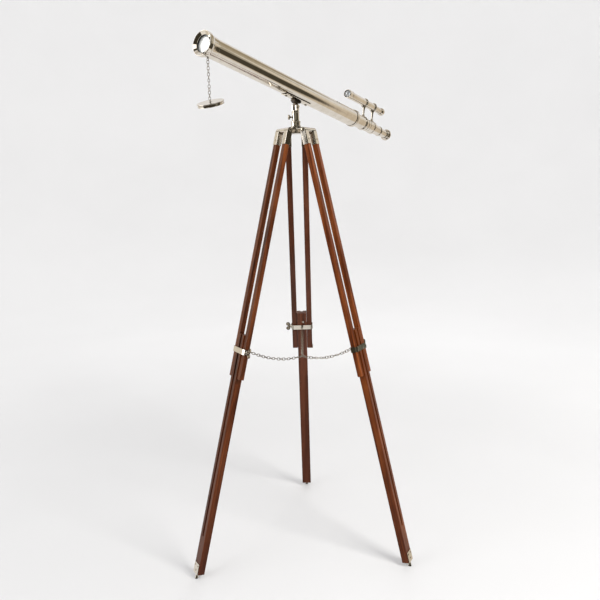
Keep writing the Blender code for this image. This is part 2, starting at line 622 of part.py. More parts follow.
def build_band(name, frame):
    rod_half = ROD_OFFSET + ROD_HALF_WIDTH + GAP
    half_x = rod_half + BAND_WALL
    half_y = LOWER_HALF_DEPTH + GAP + BAND_WALL
    low = BAND_CENTRE - BAND_HALF_HEIGHT
    high = BAND_CENTRE + BAND_HALF_HEIGHT
    band = prism(name, rounded_rectangle(half_x, half_y, 2.5 * MM, 3), low, high, "plated", frame)
    boss = box("boss", (-half_x - 4.0 * MM, -6.0 * MM, BAND_CENTRE - 6.0 * MM),
               (-half_x + 1.0 * MM, 6.0 * MM, BAND_CENTRE + 6.0 * MM), frame=frame)
    combine(band, boss, "UNION")
    eye_frame = along_x(shifted(frame, 0.0, -half_y - EYE_RADIUS + 1.2 * MM, BAND_CENTRE))
    combine(band, prism("eye", circle(EYE_RADIUS, 16), -1.3 * MM, 1.3 * MM, frame=eye_frame), "UNION")
    combine(band, prism("hole", circle(EYE_HOLE_RADIUS, 12), -0.01, 0.01, frame=eye_frame), "DIFFERENCE")
    rod_slot = box("slot", (-rod_half, -ROD_HALF_DEPTH - GAP, low - 0.01),
                   (rod_half, ROD_HALF_DEPTH + GAP, high + 0.01), frame=frame)
    combine(band, rod_slot, "DIFFERENCE")
    leg_slot = box("slot", (-LOWER_HALF_WIDTH - GAP, -LOWER_HALF_DEPTH - GAP, low - 0.01),
                   (LOWER_HALF_WIDTH + GAP, LOWER_HALF_DEPTH + GAP, high + 0.01), frame=frame)
    combine(band, leg_slot, "DIFFERENCE")
    hole = prism("hole", circle(WING_STEM_RADIUS + GAP, 12), -half_x - 0.01, -rod_half + 1.0 * MM,
                 frame=along_x(shifted(frame, 0.0, 0.0, BAND_CENTRE)))
    combine(band, hole, "DIFFERENCE")
    return band, half_x, eye_frame


def build_wing_screw(name, frame, half_x):
    """Clamp screw with two rounded ears; its local Z runs out of the band's end."""
    axis = shifted(frame, 0.0, 0.0, BAND_CENTRE) @ Matrix.Rotation(math.radians(-90.0), 4, "Y")
    start = ROD_OFFSET + ROD_HALF_WIDTH + GAP
    hub_start = half_x + 4.0 * MM + GAP
    screw = lathe(name, [
        (0.0, start), (WING_STEM_RADIUS, start), (WING_STEM_RADIUS, hub_start), (5.0 * MM, hub_start),
        (4.6 * MM, hub_start + 6.0 * MM), (3.4 * MM, hub_start + 8.0 * MM), (0.0, hub_start + 8.0 * MM),
    ], 12, "plated", axis)
    ear_radius = 7.5 * MM
    for side in (-1.0, 1.0):
        ear_frame = shifted(axis, side * 8.5 * MM, 0.0, hub_start + 8.0 * MM) @ Matrix.Rotation(
            math.radians(90.0), 4, "X")
        combine(screw, prism("ear", circle(ear_radius, 16), -1.2 * MM, 1.2 * MM, frame=ear_frame), "UNION")
    return screw, axis


def build_lower_leg(name, frame, length):
    bottom = -(length - WOOD_END_TO_FLOOR)
    top = bottom + LOWER_LENGTH
    bevel = 1.6 * MM
    leg = prism(name, rounded_rectangle(LOWER_HALF_WIDTH, LOWER_HALF_DEPTH, bevel, 2), bottom, top, "wood", frame)
    groove = box("groove", (-GROOVE_HALF_WIDTH, LOWER_HALF_DEPTH - GROOVE_DEPTH, bottom + GROOVE_STOP_ABOVE_END),
                 (GROOVE_HALF_WIDTH, LOWER_HALF_DEPTH + 0.01, top + 0.01), frame=frame)
    combine(leg, groove, "DIFFERENCE")
    return leg, bottom


def build_shoe(name, frame, bottom):
    """Angle plate on the outer face and under the end of the leg, with a round tip cut flat on the floor."""
    face = LOWER_HALF_DEPTH + GAP
    outer = face + SHOE_THICKNESS
    shelf_top = bottom - GAP
    outline = [
        (-4.0 * MM, shelf_top - SHOE_THICKNESS), (outer, shelf_top - SHOE_THICKNESS), (outer, bottom + SHOE_HEIGHT),
        (face, bottom + SHOE_HEIGHT), (face, shelf_top), (-4.0 * MM, shelf_top),
    ]
    turn = frame_from_axes(Vector((0, 1, 0)), Vector((0, 0, 1)), Vector((1, 0, 0)), Vector((0, 0, 0)))
    shoe = prism(name, outline, -SHOE_HALF_WIDTH, SHOE_HALF_WIDTH, "plated", frame @ turn)
    tip = prism("tip", circle(TIP_RADIUS, 16), shelf_top - 0.030, shelf_top - 0.5 * MM,
                frame=shifted(frame, 0.0, TIP_OFFSET, 0.0))
    combine(shoe, tip, "UNION")
    floor = box("floor", (-1.0, -1.0, -0.1), (1.0, 1.0, 0.0))
    combine(shoe, floor, "DIFFERENCE")
    return shoe


def build_strand(name, start, end):
    """Sagging round strand from a band's eye toward the centre ring."""
    steps = 6
    path = []
    for step in range(steps + 1):
        along = step / steps
        point = start.lerp(end, along)
        path.append(point - Vector((0.0, 0.0, 4.0 * STRAND_SAG * along * (1.0 - along))))
    bm = bmesh.new()
    rings = []
    sides = 6
    for index, point in enumerate(path):
        before = path[max(index - 1, 0)]
        after = path[min(index + 1, steps)]
        tangent = (after - before).normalized()
        across = tangent.cross(Vector((0.0, 0.0, 1.0))).normalized()
        upward = across.cross(tangent)
        ring = []
        for side in range(sides):
            angle = 2.0 * math.pi * side / sides
            offset = across * math.cos(angle) + upward * math.sin(angle)
            ring.append(bm.verts.new(point + offset * CHAIN_RADIUS - start))
        rings.append(ring)
    for first, second in zip(rings, rings[1:]):
        for side in range(sides):
            after = (side + 1) % sides
            bm.faces.new([first[side], first[after], second[after], second[side]])
    bm.faces.new(rings[0])
    bm.faces.new(rings[-1])
    return add_object(name, finish_mesh(name, bm), "plated", Matrix.Translation(start), smooth=True)


def build_leg(name, frame, length):
    rods = []
    fixed = []
    for label, side in (("a", -1.0), ("b", 1.0)):
        outline = rounded_rectangle(ROD_HALF_WIDTH, ROD_HALF_DEPTH, 1.4 * MM, 2)
        rod = prism(f"{name}_rod_{label}", outline, ROD_BOTTOM, ROD_TOP, "wood",
                    shifted(frame, side * ROD_OFFSET, 0.0, 0.0))
        rods.append(rod)
        fixed.append(build_ferrule(f"{name}_ferrule_{label}", frame, side))
    head = ROD_OFFSET + ROD_HALF_WIDTH + FERRULE_WALL + 2.0 * GAP
    lathe(f"{name}_hinge_bolt", [
        (0.0, -head - BOLT_HEAD_LENGTH), (BOLT_HEAD_RADIUS, -head - BOLT_HEAD_LENGTH), (BOLT_HEAD_RADIUS, -head),
        (BOLT_RADIUS, -head), (BOLT_RADIUS, head), (BOLT_HEAD_RADIUS, head),
        (BOLT_HEAD_RADIUS, head + BOLT_HEAD_LENGTH), (0.0, head + BOLT_HEAD_LENGTH),
    ], 16, "plated", along_x(frame))
    band, half_x, eye_frame = build_band(f"{name}_clamp_band", frame)
    wing, wing_axis = build_wing_screw(f"{name}_wing_screw", frame, half_x)
    lower, bottom = build_lower_leg(f"{name}_lower_leg", frame, length)
    shoe = build_shoe(f"{name}_shoe", frame, bottom)

    eye = eye_frame.translation
    inward = Vector((-eye.x, -eye.y, 0.0)).normalized()
    start = eye + inward * (EYE_RADIUS + CHAIN_RADIUS + 1.0 * MM)
    end = Vector((-inward.x * STRAND_END_RADIUS, -inward.y * STRAND_END_RADIUS, RING_HEIGHT))
    strand = build_strand(f"{name}_chain_strand", start, end)

    fold = joint_empty(f"{name}_fold_axis", frame)
    hang_on(fold, rods + fixed + [band, lower, shoe])
    hang_on(joint_empty(f"{name}_wing_axis", wing_axis), [wing])
    hang_on(joint_empty(f"{name}_chain_axis", Matrix.Translation(start)), [strand])


def stand_over_origin():
    """Move everything level so that the middle of the whole box is over the origin."""
    bpy.context.view_layer.update()
    corners = []
    for obj in bpy.data.objects:
        if obj.type == "MESH":
            corners += [obj.matrix_world @ vertex.co for vertex in obj.data.vertices]
    shift = Matrix.Identity(4)
    for axis in range(2):
        values = [corner[axis] for corner in corners]
        shift[axis][3] = -(min(values) + max(values)) / 2.0
    for obj in bpy.data.objects:
        if obj.parent is None:
            obj.matrix_world = shift @ obj.matrix_world


FINISHES = {
    "plated": ((0.72, 0.68, 0.61), 1.0, 0.16, 0.0),
    "dark": ((0.10, 0.08, 0.06), 1.0, 0.35, 0.0),
    "wood": ((0.16, 0.055, 0.025), 0.0, 0.35, 0.0),
    "glass": ((0.85, 0.90, 0.92), 0.0, 0.03, 0.9),
}


def build():
    clear_scene()
    tube_frame = telescope_frame()
    frames = {name: leg_frame(azimuth, radius) for name, (azimuth, radius) in LEGS.items()}
    build_hub(frames)
    screw, yoke, block, bolt, pan_axis, tilt_axis, station = build_head(tube_frame)
    hang_on(joint_empty("pan_screw_axis", pan_axis), [screw])
    hang_on(joint_empty("pan_axis", Matrix.Identity(4)), [yoke])
    saddle = build_saddle(tube_frame, station)
    fixed, focus, eyepiece = build_optical_tube(tube_frame)
    finder_fixed, finder_moving = build_finder(tube_frame)
    eyelet, chain, cap, chain_frame, cap_pivot = build_dust_cap(tube_frame)
    hang_on(joint_empty("tilt_axis", tilt_axis), [block, bolt, saddle, eyelet] + fixed + finder_fixed)
    hang_on(joint_empty("focus_axis", tube_frame), [focus] + eyepiece)
    hang_on(joint_empty("finder_axis", shifted(tube_frame, 0.0, FINDER_OFFSET, 0.0)), finder_moving)
    hang_on(joint_empty("cap_chain_axis", chain_frame), [chain])
    hang_on(joint_empty("cap_axis", cap_pivot), [cap])
    for name, (frame, length) in frames.items():
        build_leg(f"leg_{name}", frame, length)
    torus("chain_ring", RING_RADIUS, 1.3 * MM, "plated", Matrix.Translation((0.0, 0.0, RING_HEIGHT)), 20, 8)
    stand_over_origin()


build()
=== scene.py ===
"""Looks of a plated floor telescope on a mahogany-stained tripod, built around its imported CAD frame.

+Z up.  Shapes are written in millimetres, with the CAD source's driving dimensions; frames, lights and
the camera are in metres.
"""
import math

import bmesh
import bpy
from mathutils import Matrix, Vector


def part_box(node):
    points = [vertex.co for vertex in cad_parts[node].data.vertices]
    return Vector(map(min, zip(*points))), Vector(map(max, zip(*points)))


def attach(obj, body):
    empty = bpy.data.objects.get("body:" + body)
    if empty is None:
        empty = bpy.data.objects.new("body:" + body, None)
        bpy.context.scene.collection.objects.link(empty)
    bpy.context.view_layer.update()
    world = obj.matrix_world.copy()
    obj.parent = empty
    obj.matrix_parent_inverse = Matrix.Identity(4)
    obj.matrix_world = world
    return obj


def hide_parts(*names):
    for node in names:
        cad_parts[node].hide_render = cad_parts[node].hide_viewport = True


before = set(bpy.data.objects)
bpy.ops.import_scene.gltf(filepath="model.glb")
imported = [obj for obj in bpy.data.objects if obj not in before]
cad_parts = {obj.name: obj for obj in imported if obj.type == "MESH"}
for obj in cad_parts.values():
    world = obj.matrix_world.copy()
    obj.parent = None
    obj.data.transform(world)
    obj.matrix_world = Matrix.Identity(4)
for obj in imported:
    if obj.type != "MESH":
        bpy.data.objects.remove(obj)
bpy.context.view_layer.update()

POST_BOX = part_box("socket_post")
HUB_AXIS = [(low + high) / 2.0 for low, high in zip(*POST_BOX)]
ROOT = Matrix.Translation((HUB_AXIS[0], HUB_AXIS[1], 0.0))
MM = 0.001

# Tripod layout
HINGE_HEIGHT = 1407
HINGE_RADIUS = 44.3
LEGS = {"back": (89.4, 402), "left": (211.9, 420), "right": (330.5, 379)}
WOOD_END_TO_FLOOR = 16
LOWER_LENGTH = 787
ROD_OFFSET = 27
ROD_HALF_WIDTH = 9.5
ROD_HALF_DEPTH = 8
ROD_TOP = -22
ROD_BOTTOM = -794
LOWER_HALF_WIDTH = 17.2
LOWER_HALF_DEPTH = 11.5
GROOVE_HALF_WIDTH = 4.5
GROOVE_DEPTH = 4.5
GROOVE_STOP_ABOVE_END = 122
FERRULE_WALL = 1.1
FERRULE_BOTTOM = -45.4
FERRULE_TOP = -4
BARREL_RADIUS = 8
BOLT_RADIUS = 3
BOLT_HEAD_RADIUS = 5.5
BAND_CENTRE = -705
BAND_HALF_HEIGHT = 8.5
BAND_HALF_X = 39
BAND_HALF_Y = 14
BAND_WALL = 1.5
SHOE_HALF_WIDTH = 15.5
SHOE_HEIGHT = 34
SHOE_THICKNESS = 1.8
TIP_RADIUS = 5.5
TIP_OFFSET = 5
FIT = 0.3

# Hub and head
HUB_RADIUS = 19
HUB_BOTTOM = 1397.6
HUB_TOP = 1419.1
POST_RADIUS = 11.4
POST_TOP = 1465
STEM_RADIUS = 6.7
COLLAR_RADIUS = 15.5
COLLAR_TOP = 1437
PAN_SCREW_HEIGHT = 1449
PAN_SCREW_AZIMUTH = 190
TILT_HEIGHT = 1481
TILT_BOLT_RADIUS = 2.6
CHEEK_INNER = 4.8
CHEEK_OUTER = 9
CHEEK_RADIUS = 7.5

# Telescope
AXIS_HEIGHT = 1533
AZIMUTH = 38.1
ELEVATION = 11.84
TUBE_RADIUS = 28
TUBE_FRONT = 375
TUBE_REAR = -336
SADDLE_HALF_LENGTH = 59
SADDLE_THICKNESS = 3
FINDER_OFFSET = 73.9
POST_STATIONS = (-401, -460)
SLEEVE_RADIUS = 22.6
SLEEVE_RIM_RADIUS = 25
SLEEVE_RIM = (-402, -395.5)
REAR_SLEEVE_RADIUS = 21.1
REAR_RIM_RADIUS = 22.4
FOCUS_RADIUS = 17.2
EYEPIECE_RADIUS = 14.6
FINDER_RADIUS = 13
FINDER_RING_RADIUS = 16.6
POST_BASE_RADIUS = 12
FINDER_RING_HALF_LENGTH = 5
FINDER_DRAW_RADIUS = 11.3

# Dust cap and chains
CAP_STATION = 374
CAP_NECK_RADIUS = 30.3
CAP_CHAIN_LENGTH = 96.5
CAP_DEPTH = 9.5
LINK_GAP = 1
RING_HEIGHT = 667
RING_RADIUS = 7
STRAND_END_RADIUS = 18
STRAND_SAG = 15
SPREADER_LINK = (6, 4.1, 1, 9.8)
CAP_LINK = (4.5, 3.1, 0.75, 7.5)

# Camera
CAMERA_PLACE = (0.0, -2.0797, 1.2499)
CAMERA_FORWARD = (-0.0010962, 0.982991, -0.18365048)
CAMERA_RIGHT = (0.99961716, -0.00400018, -0.02737767)
CAMERA_UP = (0.02764663, 0.18361018, 0.98261028)
CAMERA_LENS = 38.134
CAMERA_SENSOR = 36.0


# ---------------------------------------------------------------- materials

CREVICE_REACH = 7.0 * MM
# Painted shade: plated metal is darkened towards this colour in corners and in gaps between parts.
CREVICE_PAINTED_SHADE = (0.055, 0.040, 0.024)
# Colour the wood is blended towards near the bottom of the legs, making it darker there.
BOTTOM_DARK_TINT = (0.070, 0.022, 0.013)


class Graph:
    """A material's node tree with short calls for the few kinds of node used here."""

    def __init__(self, name):
        self.material = bpy.data.materials.new(name)
        self.material.use_nodes = True
        self.tree = self.material.node_tree
        self.shader = self.tree.nodes["Principled BSDF"]

    def add(self, kind, values=None, **settings):
        node = self.tree.nodes.new(kind)
        for key, value in settings.items():
            setattr(node, key, value)
        for key, value in (values or {}).items():
            self.set(node.inputs[key], value)
        return node

    def set(self, socket, value):
        if isinstance(value, bpy.types.NodeSocket):
            self.tree.links.new(value, socket)
        else:
            socket.default_value = value

    def place(self, offset=(0.0, 0.0, 0.0), scale=(1.0, 1.0, 1.0)):
        coordinates = self.add("ShaderNodeTexCoord")
        mapping = self.add("ShaderNodeMapping", {
            "Vector": coordinates.outputs["Object"], "Location": offset, "Scale": scale})
        return mapping.outputs["Vector"]

    def noise(self, vector, scale, detail=3.0, roughness=0.5, distortion=0.0):
        node = self.add("ShaderNodeTexNoise", {
            "Vector": vector, "Scale": scale, "Detail": detail, "Roughness": roughness,
            "Distortion": distortion})
        return node.outputs["Fac"]

    def ramp(self, factor, stops):
        node = self.add("ShaderNodeValToRGB", {"Fac": factor})
        elements = node.color_ramp.elements
        while len(elements) < len(stops):
            elements.new(0.5)
        for element, (position, color) in zip(elements, stops):
            element.position = position
            element.color = (*color, 1.0)
        return node.outputs["Color"]

    def spread(self, factor, low, high, start=0.0, end=1.0):
        node = self.add("ShaderNodeMapRange", {
            "Value": factor, "From Min": start, "From Max": end, "To Min": low, "To Max": high})
        return node.outputs["Result"]

    def mix(self, factor, first, second, blend="MIX"):
        node = self.add("ShaderNodeMix", data_type="RGBA", blend_type=blend)
        self.set(node.inputs[0], factor)
        self.set(node.inputs[6], first)
        self.set(node.inputs[7], second)
        return node.outputs[2]

    def step(self, value, start, end):
        """Smooth 0 to 1 as the value goes from start to end, whichever is larger."""
        rising = start < end
        node = self.add("ShaderNodeMapRange", {
            "Value": value, "From Min": min(start, end), "From Max": max(start, end),
            "To Min": 0.0 if rising else 1.0, "To Max": 1.0 if rising else 0.0},
            interpolation_type="SMOOTHSTEP")
        return node.outputs["Result"]

    def bump(self, height, strength, distance, normal=None):
        node = self.add("ShaderNodeBump", {"Height": height, "Strength": strength, "Distance": distance})
        if normal is not None:
            self.set(node.inputs["Normal"], normal)
        return node.outputs["Normal"]

    def crevice(self, reach):
        """Mask for painted shade from ambient occlusion: 0 in the open, 1 deep in a corner between faces
        that are within reach of each other.
        """
        node = self.add("ShaderNodeAmbientOcclusion", {"Distance": reach}, samples=8)
        return self.spread(node.outputs["AO"], 1.0, 0.0, 0.58, 0.94)

    def finish(self, **values):
        for key, value in values.items():
            self.set(self.shader.inputs[key.replace("_", " ")], value)
        return self.material


def plated_metal(name, light, dark, smooth, rough, turning, seed):
    """Polished plating: cloudy tint, painted shade in corners, fingered roughness and faint turning lines
    along local Z.
    """
    graph = Graph(name)
    offset = (seed * 1.7, seed * 0.9, seed * 2.3)
    cloud = graph.noise(graph.place(offset), 34.0, 4.0, 0.6, 0.4)
    speck = graph.noise(graph.place(offset), 420.0, 3.0, 0.7)
    color = graph.ramp(cloud, [(0.30, dark), (0.62, light)])
    tarnish = tuple(channel * 0.72 for channel in dark)
    color = graph.mix(graph.spread(speck, 0.0, 0.55, 0.66, 0.80), color, (*tarnish, 1.0))
    # Painted shade: corners and gaps are darkened towards the crevice colour by the ambient-occlusion mask.
    color = graph.mix(graph.crevice(CREVICE_REACH), color, (*CREVICE_PAINTED_SHADE, 1.0))
    smudge = graph.noise(graph.place(offset, (1.0, 1.0, 0.5)), 60.0, 5.0, 0.65, 0.8)
    roughness = graph.spread(smudge, smooth, rough, 0.35, 0.72)
    lines = graph.noise(graph.place(offset, (turning[0], turning[0], turning[1])), 40.0, 2.0, 0.5)
    ripple = graph.noise(graph.place(offset), 22.0, 2.0, 0.5)
    normal = graph.bump(ripple, 0.40, 0.0003)
    normal = graph.bump(lines, 0.05, 0.00008, normal)
    return graph.finish(Base_Color=color, Metallic=1.0, Roughness=roughness, Normal=normal)


def stained_wood(name, deep, mid, bright, seed):
    """Close-grained stained wood under satin lacquer, with its grain along local Z."""
    graph = Graph(name)
    offset = (seed * 0.37, seed * 0.21, seed * 1.31)
    figure = graph.noise(graph.place(offset, (16.0, 16.0, 1.0)), 3.0, 4.0, 0.55, 1.1)
    fibre = graph.noise(graph.place(offset, (70.0, 70.0, 1.6)), 9.0, 5.0, 0.62, 0.3)
    pore = graph.noise(graph.place(offset, (150.0, 150.0, 4.0)), 8.0, 3.0, 0.55)
    patch = graph.noise(graph.place(offset), 9.0, 2.0, 0.5)
    color = graph.ramp(figure, [(0.36, deep), (0.50, mid), (0.66, bright)])
    color = graph.mix(graph.spread(fibre, 0.0, 0.55, 0.36, 0.66), color, (*mid, 1.0))
    streak = tuple(channel * 0.32 for channel in deep)
    color = graph.mix(graph.spread(pore, 0.0, 0.85, 0.60, 0.72), color, (*streak, 1.0))
    color = graph.mix(graph.spread(patch, 0.0, 0.35, 0.35, 0.75), color, (*bright, 1.0))
    along = graph.add("ShaderNodeSeparateXYZ", {"Vector": graph.place()}).outputs["Z"]
    # Darker towards the bottom of the legs: blended up to halfway to the dark tint from local Z -0.75 m down
    # to -1.4 m.
    color = graph.mix(graph.spread(along, 0.0, 0.5, -0.75, -1.4), color, (*BOTTOM_DARK_TINT, 1.0))
    roughness = graph.spread(fibre, 0.30, 0.46, 0.3, 0.7)
    normal = graph.bump(pore, 0.25, 0.0003)
    normal = graph.bump(fibre, 0.12, 0.0004, normal)
    return graph.finish(
        Base_Color=color, Roughness=roughness, Normal=normal, Coat_Weight=0.32, Coat_Roughness=0.05,
        Specular_IOR_Level=0.12)


def lens_glass(name, tint, clearness, seed):
    """Coated lens: clear glass with a faint bloom and a little dust."""
    graph = Graph(name)
    dust = graph.noise(graph.place((seed, seed, seed)), 700.0, 2.0, 0.6)
    bloom = graph.noise(graph.place((seed, seed, seed)), 30.0, 2.0, 0.5)
    pale = tuple(min(1.0, channel * 1.05) for channel in tint)
    color = graph.ramp(bloom, [(0.35, tint), (0.65, pale)])
    roughness = graph.spread(dust, 0.015, 0.14, 0.58, 0.80)
    return graph.finish(
        Base_Color=color, Roughness=roughness, IOR=1.9, Transmission_Weight=clearness, Coat_Weight=1.0,
        Coat_Roughness=0.02, Coat_IOR=2.2)


TUBE_TURNED = (0.35, 24.0)
PLAIN_TURNED = (5.0, 5.0)
SILVER = ((0.84, 0.79, 0.71), (0.75, 0.69, 0.60))
TUBE_METAL = plated_metal("tube_plating", *SILVER, 0.035, 0.09, TUBE_TURNED, 1.0)
TURNED_METAL = plated_metal("turned_plating", *SILVER, 0.03, 0.08, TUBE_TURNED, 2.0)
CAST_METAL = plated_metal("cast_plating", *SILVER, 0.07, 0.16, PLAIN_TURNED, 3.0)
SHEET_METAL = plated_metal("sheet_plating", *SILVER, 0.08, 0.18, PLAIN_TURNED, 4.0)
WIRE_METAL = plated_metal(
    "wire_plating", (0.60, 0.54, 0.45), (0.36, 0.31, 0.24), 0.06, 0.14, PLAIN_TURNED, 5.0)
SCREW_METAL = plated_metal(
    "screw_plating", (0.74, 0.67, 0.55), (0.50, 0.42, 0.30), 0.10, 0.22, PLAIN_TURNED, 6.0)
WING_METAL = plated_metal(
    "wing_plating", (0.36, 0.31, 0.24), (0.13, 0.105, 0.075), 0.07, 0.18, PLAIN_TURNED, 9.0)
BRASS = plated_metal("worn_brass", (0.80, 0.58, 0.26), (0.58, 0.40, 0.17), 0.16, 0.30, PLAIN_TURNED, 7.0)
BRONZE = plated_metal(
    "dark_bronze", (0.125, 0.100, 0.078), (0.060, 0.048, 0.038), 0.26, 0.42, PLAIN_TURNED, 8.0)
OBJECTIVE_GLASS = lens_glass("objective_glass", (0.94, 0.97, 0.93), 0.3, 1.0)
SMALL_GLASS = lens_glass("small_glass", (0.84, 0.89, 0.92), 0.85, 2.0)
# One mahogany stain in three copies, partly its own tone and partly painted light and shade: the right leg's
# copy is brightest, the back leg's darkest.
LEG_WOODS_LIT_AND_SHADED = {
    "back": ((0.026, 0.007, 0.003), (0.075, 0.021, 0.009), (0.135, 0.045, 0.022)),
    "left": ((0.022, 0.005, 0.001), (0.085, 0.020, 0.005), (0.200, 0.058, 0.016)),
    "right": ((0.026, 0.005, 0.001), (0.105, 0.022, 0.004), (0.280, 0.076, 0.016)),
}


# ---------------------------------------------------------------- meshes

def mesh_from(name, bm):
    bmesh.ops.scale(bm, vec=(MM, MM, MM), verts=bm.verts)
    bmesh.ops.recalc_face_normals(bm, faces=bm.faces)
    mesh = bpy.data.meshes.new(name)
    bm.to_mesh(mesh)
    bm.free()
    return mesh


def add_object(name, bm, place):
    obj = bpy.data.objects.new(name, mesh_from(name, bm))
    bpy.context.scene.collection.objects.link(obj)
    obj.matrix_world = ROOT @ place
    return obj


def soften(points, reach, closed, steps=4):
    """Round a profile's corners: each becomes a short curve that starts and ends within reach of it."""
    result = []
    last = len(points) - 1
    for index, point in enumerate(points):
        if not closed and index in (0, last):
            result.append(point)
            continue
        here = Vector(point)
        before = Vector(points[index - 1]) - here
        after = Vector(points[(index + 1) % len(points)]) - here
        start = here + before.normalized() * min(reach, 0.45 * before.length)
        end = here + after.normalized() * min(reach, 0.45 * after.length)
        for step in range(steps + 1):
            along = step / steps
            spot = start * (1 - along) ** 2 + here * 2 * along * (1 - along) + end * along ** 2
            result.append((spot.x, spot.y))
    return result


def lathe(name, profile, place, segments=96, reach=0.5):
    """Revolve (radius, height) points about local Z, with the profile's corners rounded."""
    is_ring = all(radius > 0 for radius, _ in profile)
    points = soften(profile, reach, is_ring) if reach > 0 else profile
    return revolve(name, points, is_ring, place, segments)


def revolve(name, points, is_ring, place, segments):
    """Sweep (radius, height) points round local Z; a ring's last point joins its first."""
    bm = bmesh.new()
    rings = []
    for radius, height in points:
        count = segments if radius > 0 else 1
        rings.append([bm.verts.new((
            radius * math.cos(2 * math.pi * step / count),
            radius * math.sin(2 * math.pi * step / count), height)) for step in range(count)])
    following = rings[1:] + rings[:1] if is_ring else rings[1:]
    for first, second in zip(rings, following):
        for step in range(segments):
            corners = [
                first[step % len(first)], first[(step + 1) % len(first)],
                second[(step + 1) % len(second)], second[step % len(second)]]
            corners = list(dict.fromkeys(corners))
            if len(corners) > 2:
                bm.faces.new(corners)
    return add_object(name, bm, place)


def prism(name, outline, low, high, place):
    """Extrude a closed (x, y) outline along local Z."""
    bm = bmesh.new()
    bottom = [bm.verts.new((x, y, low)) for x, y in outline]
    top = [bm.verts.new((x, y, high)) for x, y in outline]
    bm.faces.new(bottom)
    bm.faces.new(top)
    for index in range(len(outline)):
        after = (index + 1) % len(outline)
        bm.faces.new([bottom[index], bottom[after], top[after], top[index]])
    return add_object(name, bm, place)


def rectangle(half_x, half_y):
    return [(half_x, half_y), (-half_x, half_y), (-half_x, -half_y), (half_x, -half_y)]


def circle(radius, segments=48, centre=(0, 0)):
    points = []
    for step in range(segments):
        angle = 2 * math.pi * step / segments
        points.append((centre[0] + radius * math.cos(angle), centre[1] + radius * math.sin(angle)))
    return points


def combine(target, other, operation="UNION"):
    """Fold one solid into another with an exact boolean and remove the second."""
    bpy.context.view_layer.update()
    modifier = target.modifiers.new("combine", "BOOLEAN")
    modifier.operation = operation
    modifier.solver = "EXACT"
    modifier.object = other
    depsgraph = bpy.context.evaluated_depsgraph_get()
    mesh = bpy.data.meshes.new_from_object(target.evaluated_get(depsgraph))
    target.modifiers.clear()
    target.data = mesh
    bpy.data.objects.remove(other, do_unlink=True)
    return target


def along_x(place):
    """A frame whose local Z runs along the given frame's +X."""
    return place @ Matrix.Rotation(math.radians(90), 4, "Y")


def along_y(place):
    """A frame whose local Z runs along the given frame's +Y."""
    return place @ Matrix.Rotation(math.radians(-90), 4, "X")


def shifted(place, x=0, y=0, z=0):
    return place @ Matrix.Translation((x * MM, y * MM, z * MM))


def frame_from_axes(x_axis, y_axis, z_axis, origin):
    place = Matrix.Identity(4)
    for column, axis in enumerate((x_axis, y_axis, z_axis)):
        for row in range(3):
            place[row][column] = axis[row]
    place.translation = origin
    return place


def finish(obj, body, nodes, material, bevel=0, weighted=True):
    """Give a piece its material, rounded edges and body, and hide the CAD nodes it stands for."""
    obj.data.materials.clear()
    obj.data.materials.append(material)
    for face in obj.data.polygons:
        face.use_smooth = True
        face.material_index = 0
    if bevel > 0:
        rounding = obj.modifiers.new("rounded_edges", "BEVEL")
        rounding.width = bevel * MM
        rounding.segments = 3
        rounding.limit_method = "ANGLE"
        rounding.angle_limit = math.radians(35)
        rounding.use_clamp_overlap = True
    if weighted:
        shading = obj.modifiers.new("flat_faces", "WEIGHTED_NORMAL")
        shading.weight = 80
    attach(obj, body)
    if nodes:
        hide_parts(*nodes)
    return obj


def turned(node, profile, place, body="telescope", segments=128, reach=0.5,
           material=TURNED_METAL, suffix="body"):
    """A lathe-made piece that stands for one CAD node and carries its name."""
    return finish(lathe(f"{node}_{suffix}", profile, place, segments, reach), body, [node], material)


def drill(target, radius, place, reach=20):
    """Cut a hole for a pin of the given radius along local Z, as far as reach to either side."""
    combine(target, prism("hole", circle(radius + FIT), -reach, reach, place), "DIFFERENCE")


# ---------------------------------------------------------------- frames

def leg_frame(azimuth, foot_radius):
    """Hinge frame: X along the hinge bolt, Y outward, Z up the leg.  Also the hinge-to-floor length."""
    angle = math.radians(azimuth)
    outward = Vector((math.cos(angle), math.sin(angle), 0))
    tangent = Vector((-math.sin(angle), math.cos(angle), 0))
    hinge = outward * HINGE_RADIUS + Vector((0, 0, HINGE_HEIGHT))
    up_leg = hinge - outward * foot_radius
    length = up_leg.length
    up_leg.normalize()
    return frame_from_axes(-tangent, up_leg.cross(-tangent), up_leg, hinge * MM), length


def telescope_frame():
    """Tube frame: X along the tilt bolt, Y up across the tube, Z toward the objective."""
    azimuth = math.radians(AZIMUTH)
    elevation = math.radians(ELEVATION)
    forward = Vector((
        -math.sin(azimuth) * math.cos(elevation),
        -math.cos(azimuth) * math.cos(elevation),
        math.sin(elevation),
    ))
    across = Vector((math.cos(azimuth), -math.sin(azimuth), 0))
    return frame_from_axes(across, forward.cross(across), forward, Vector((0, 0, AXIS_HEIGHT * MM)))


# ---------------------------------------------------------------- small fittings

def slotted_screw(name, radius, rise, place, body, slot_turn=25, metal=SCREW_METAL):
    """Domed screw head standing on local Z = 0 with a driver slot across it."""
    head = lathe(name, [
        (0, -0.6), (radius * 0.96, -0.6), (radius, 0.25 * rise), (radius * 0.80, 0.72 * rise),
        (radius * 0.45, 0.95 * rise), (0, rise),
    ], place, 32, 0.25)
    across = place @ Matrix.Rotation(math.radians(slot_turn), 4, "Z")
    cutter = prism("slot_cutter", rectangle(radius * 1.5, radius * 0.14), rise * 0.45, rise * 2, across)
    combine(head, cutter, "DIFFERENCE")
    return finish(head, body, [], metal)


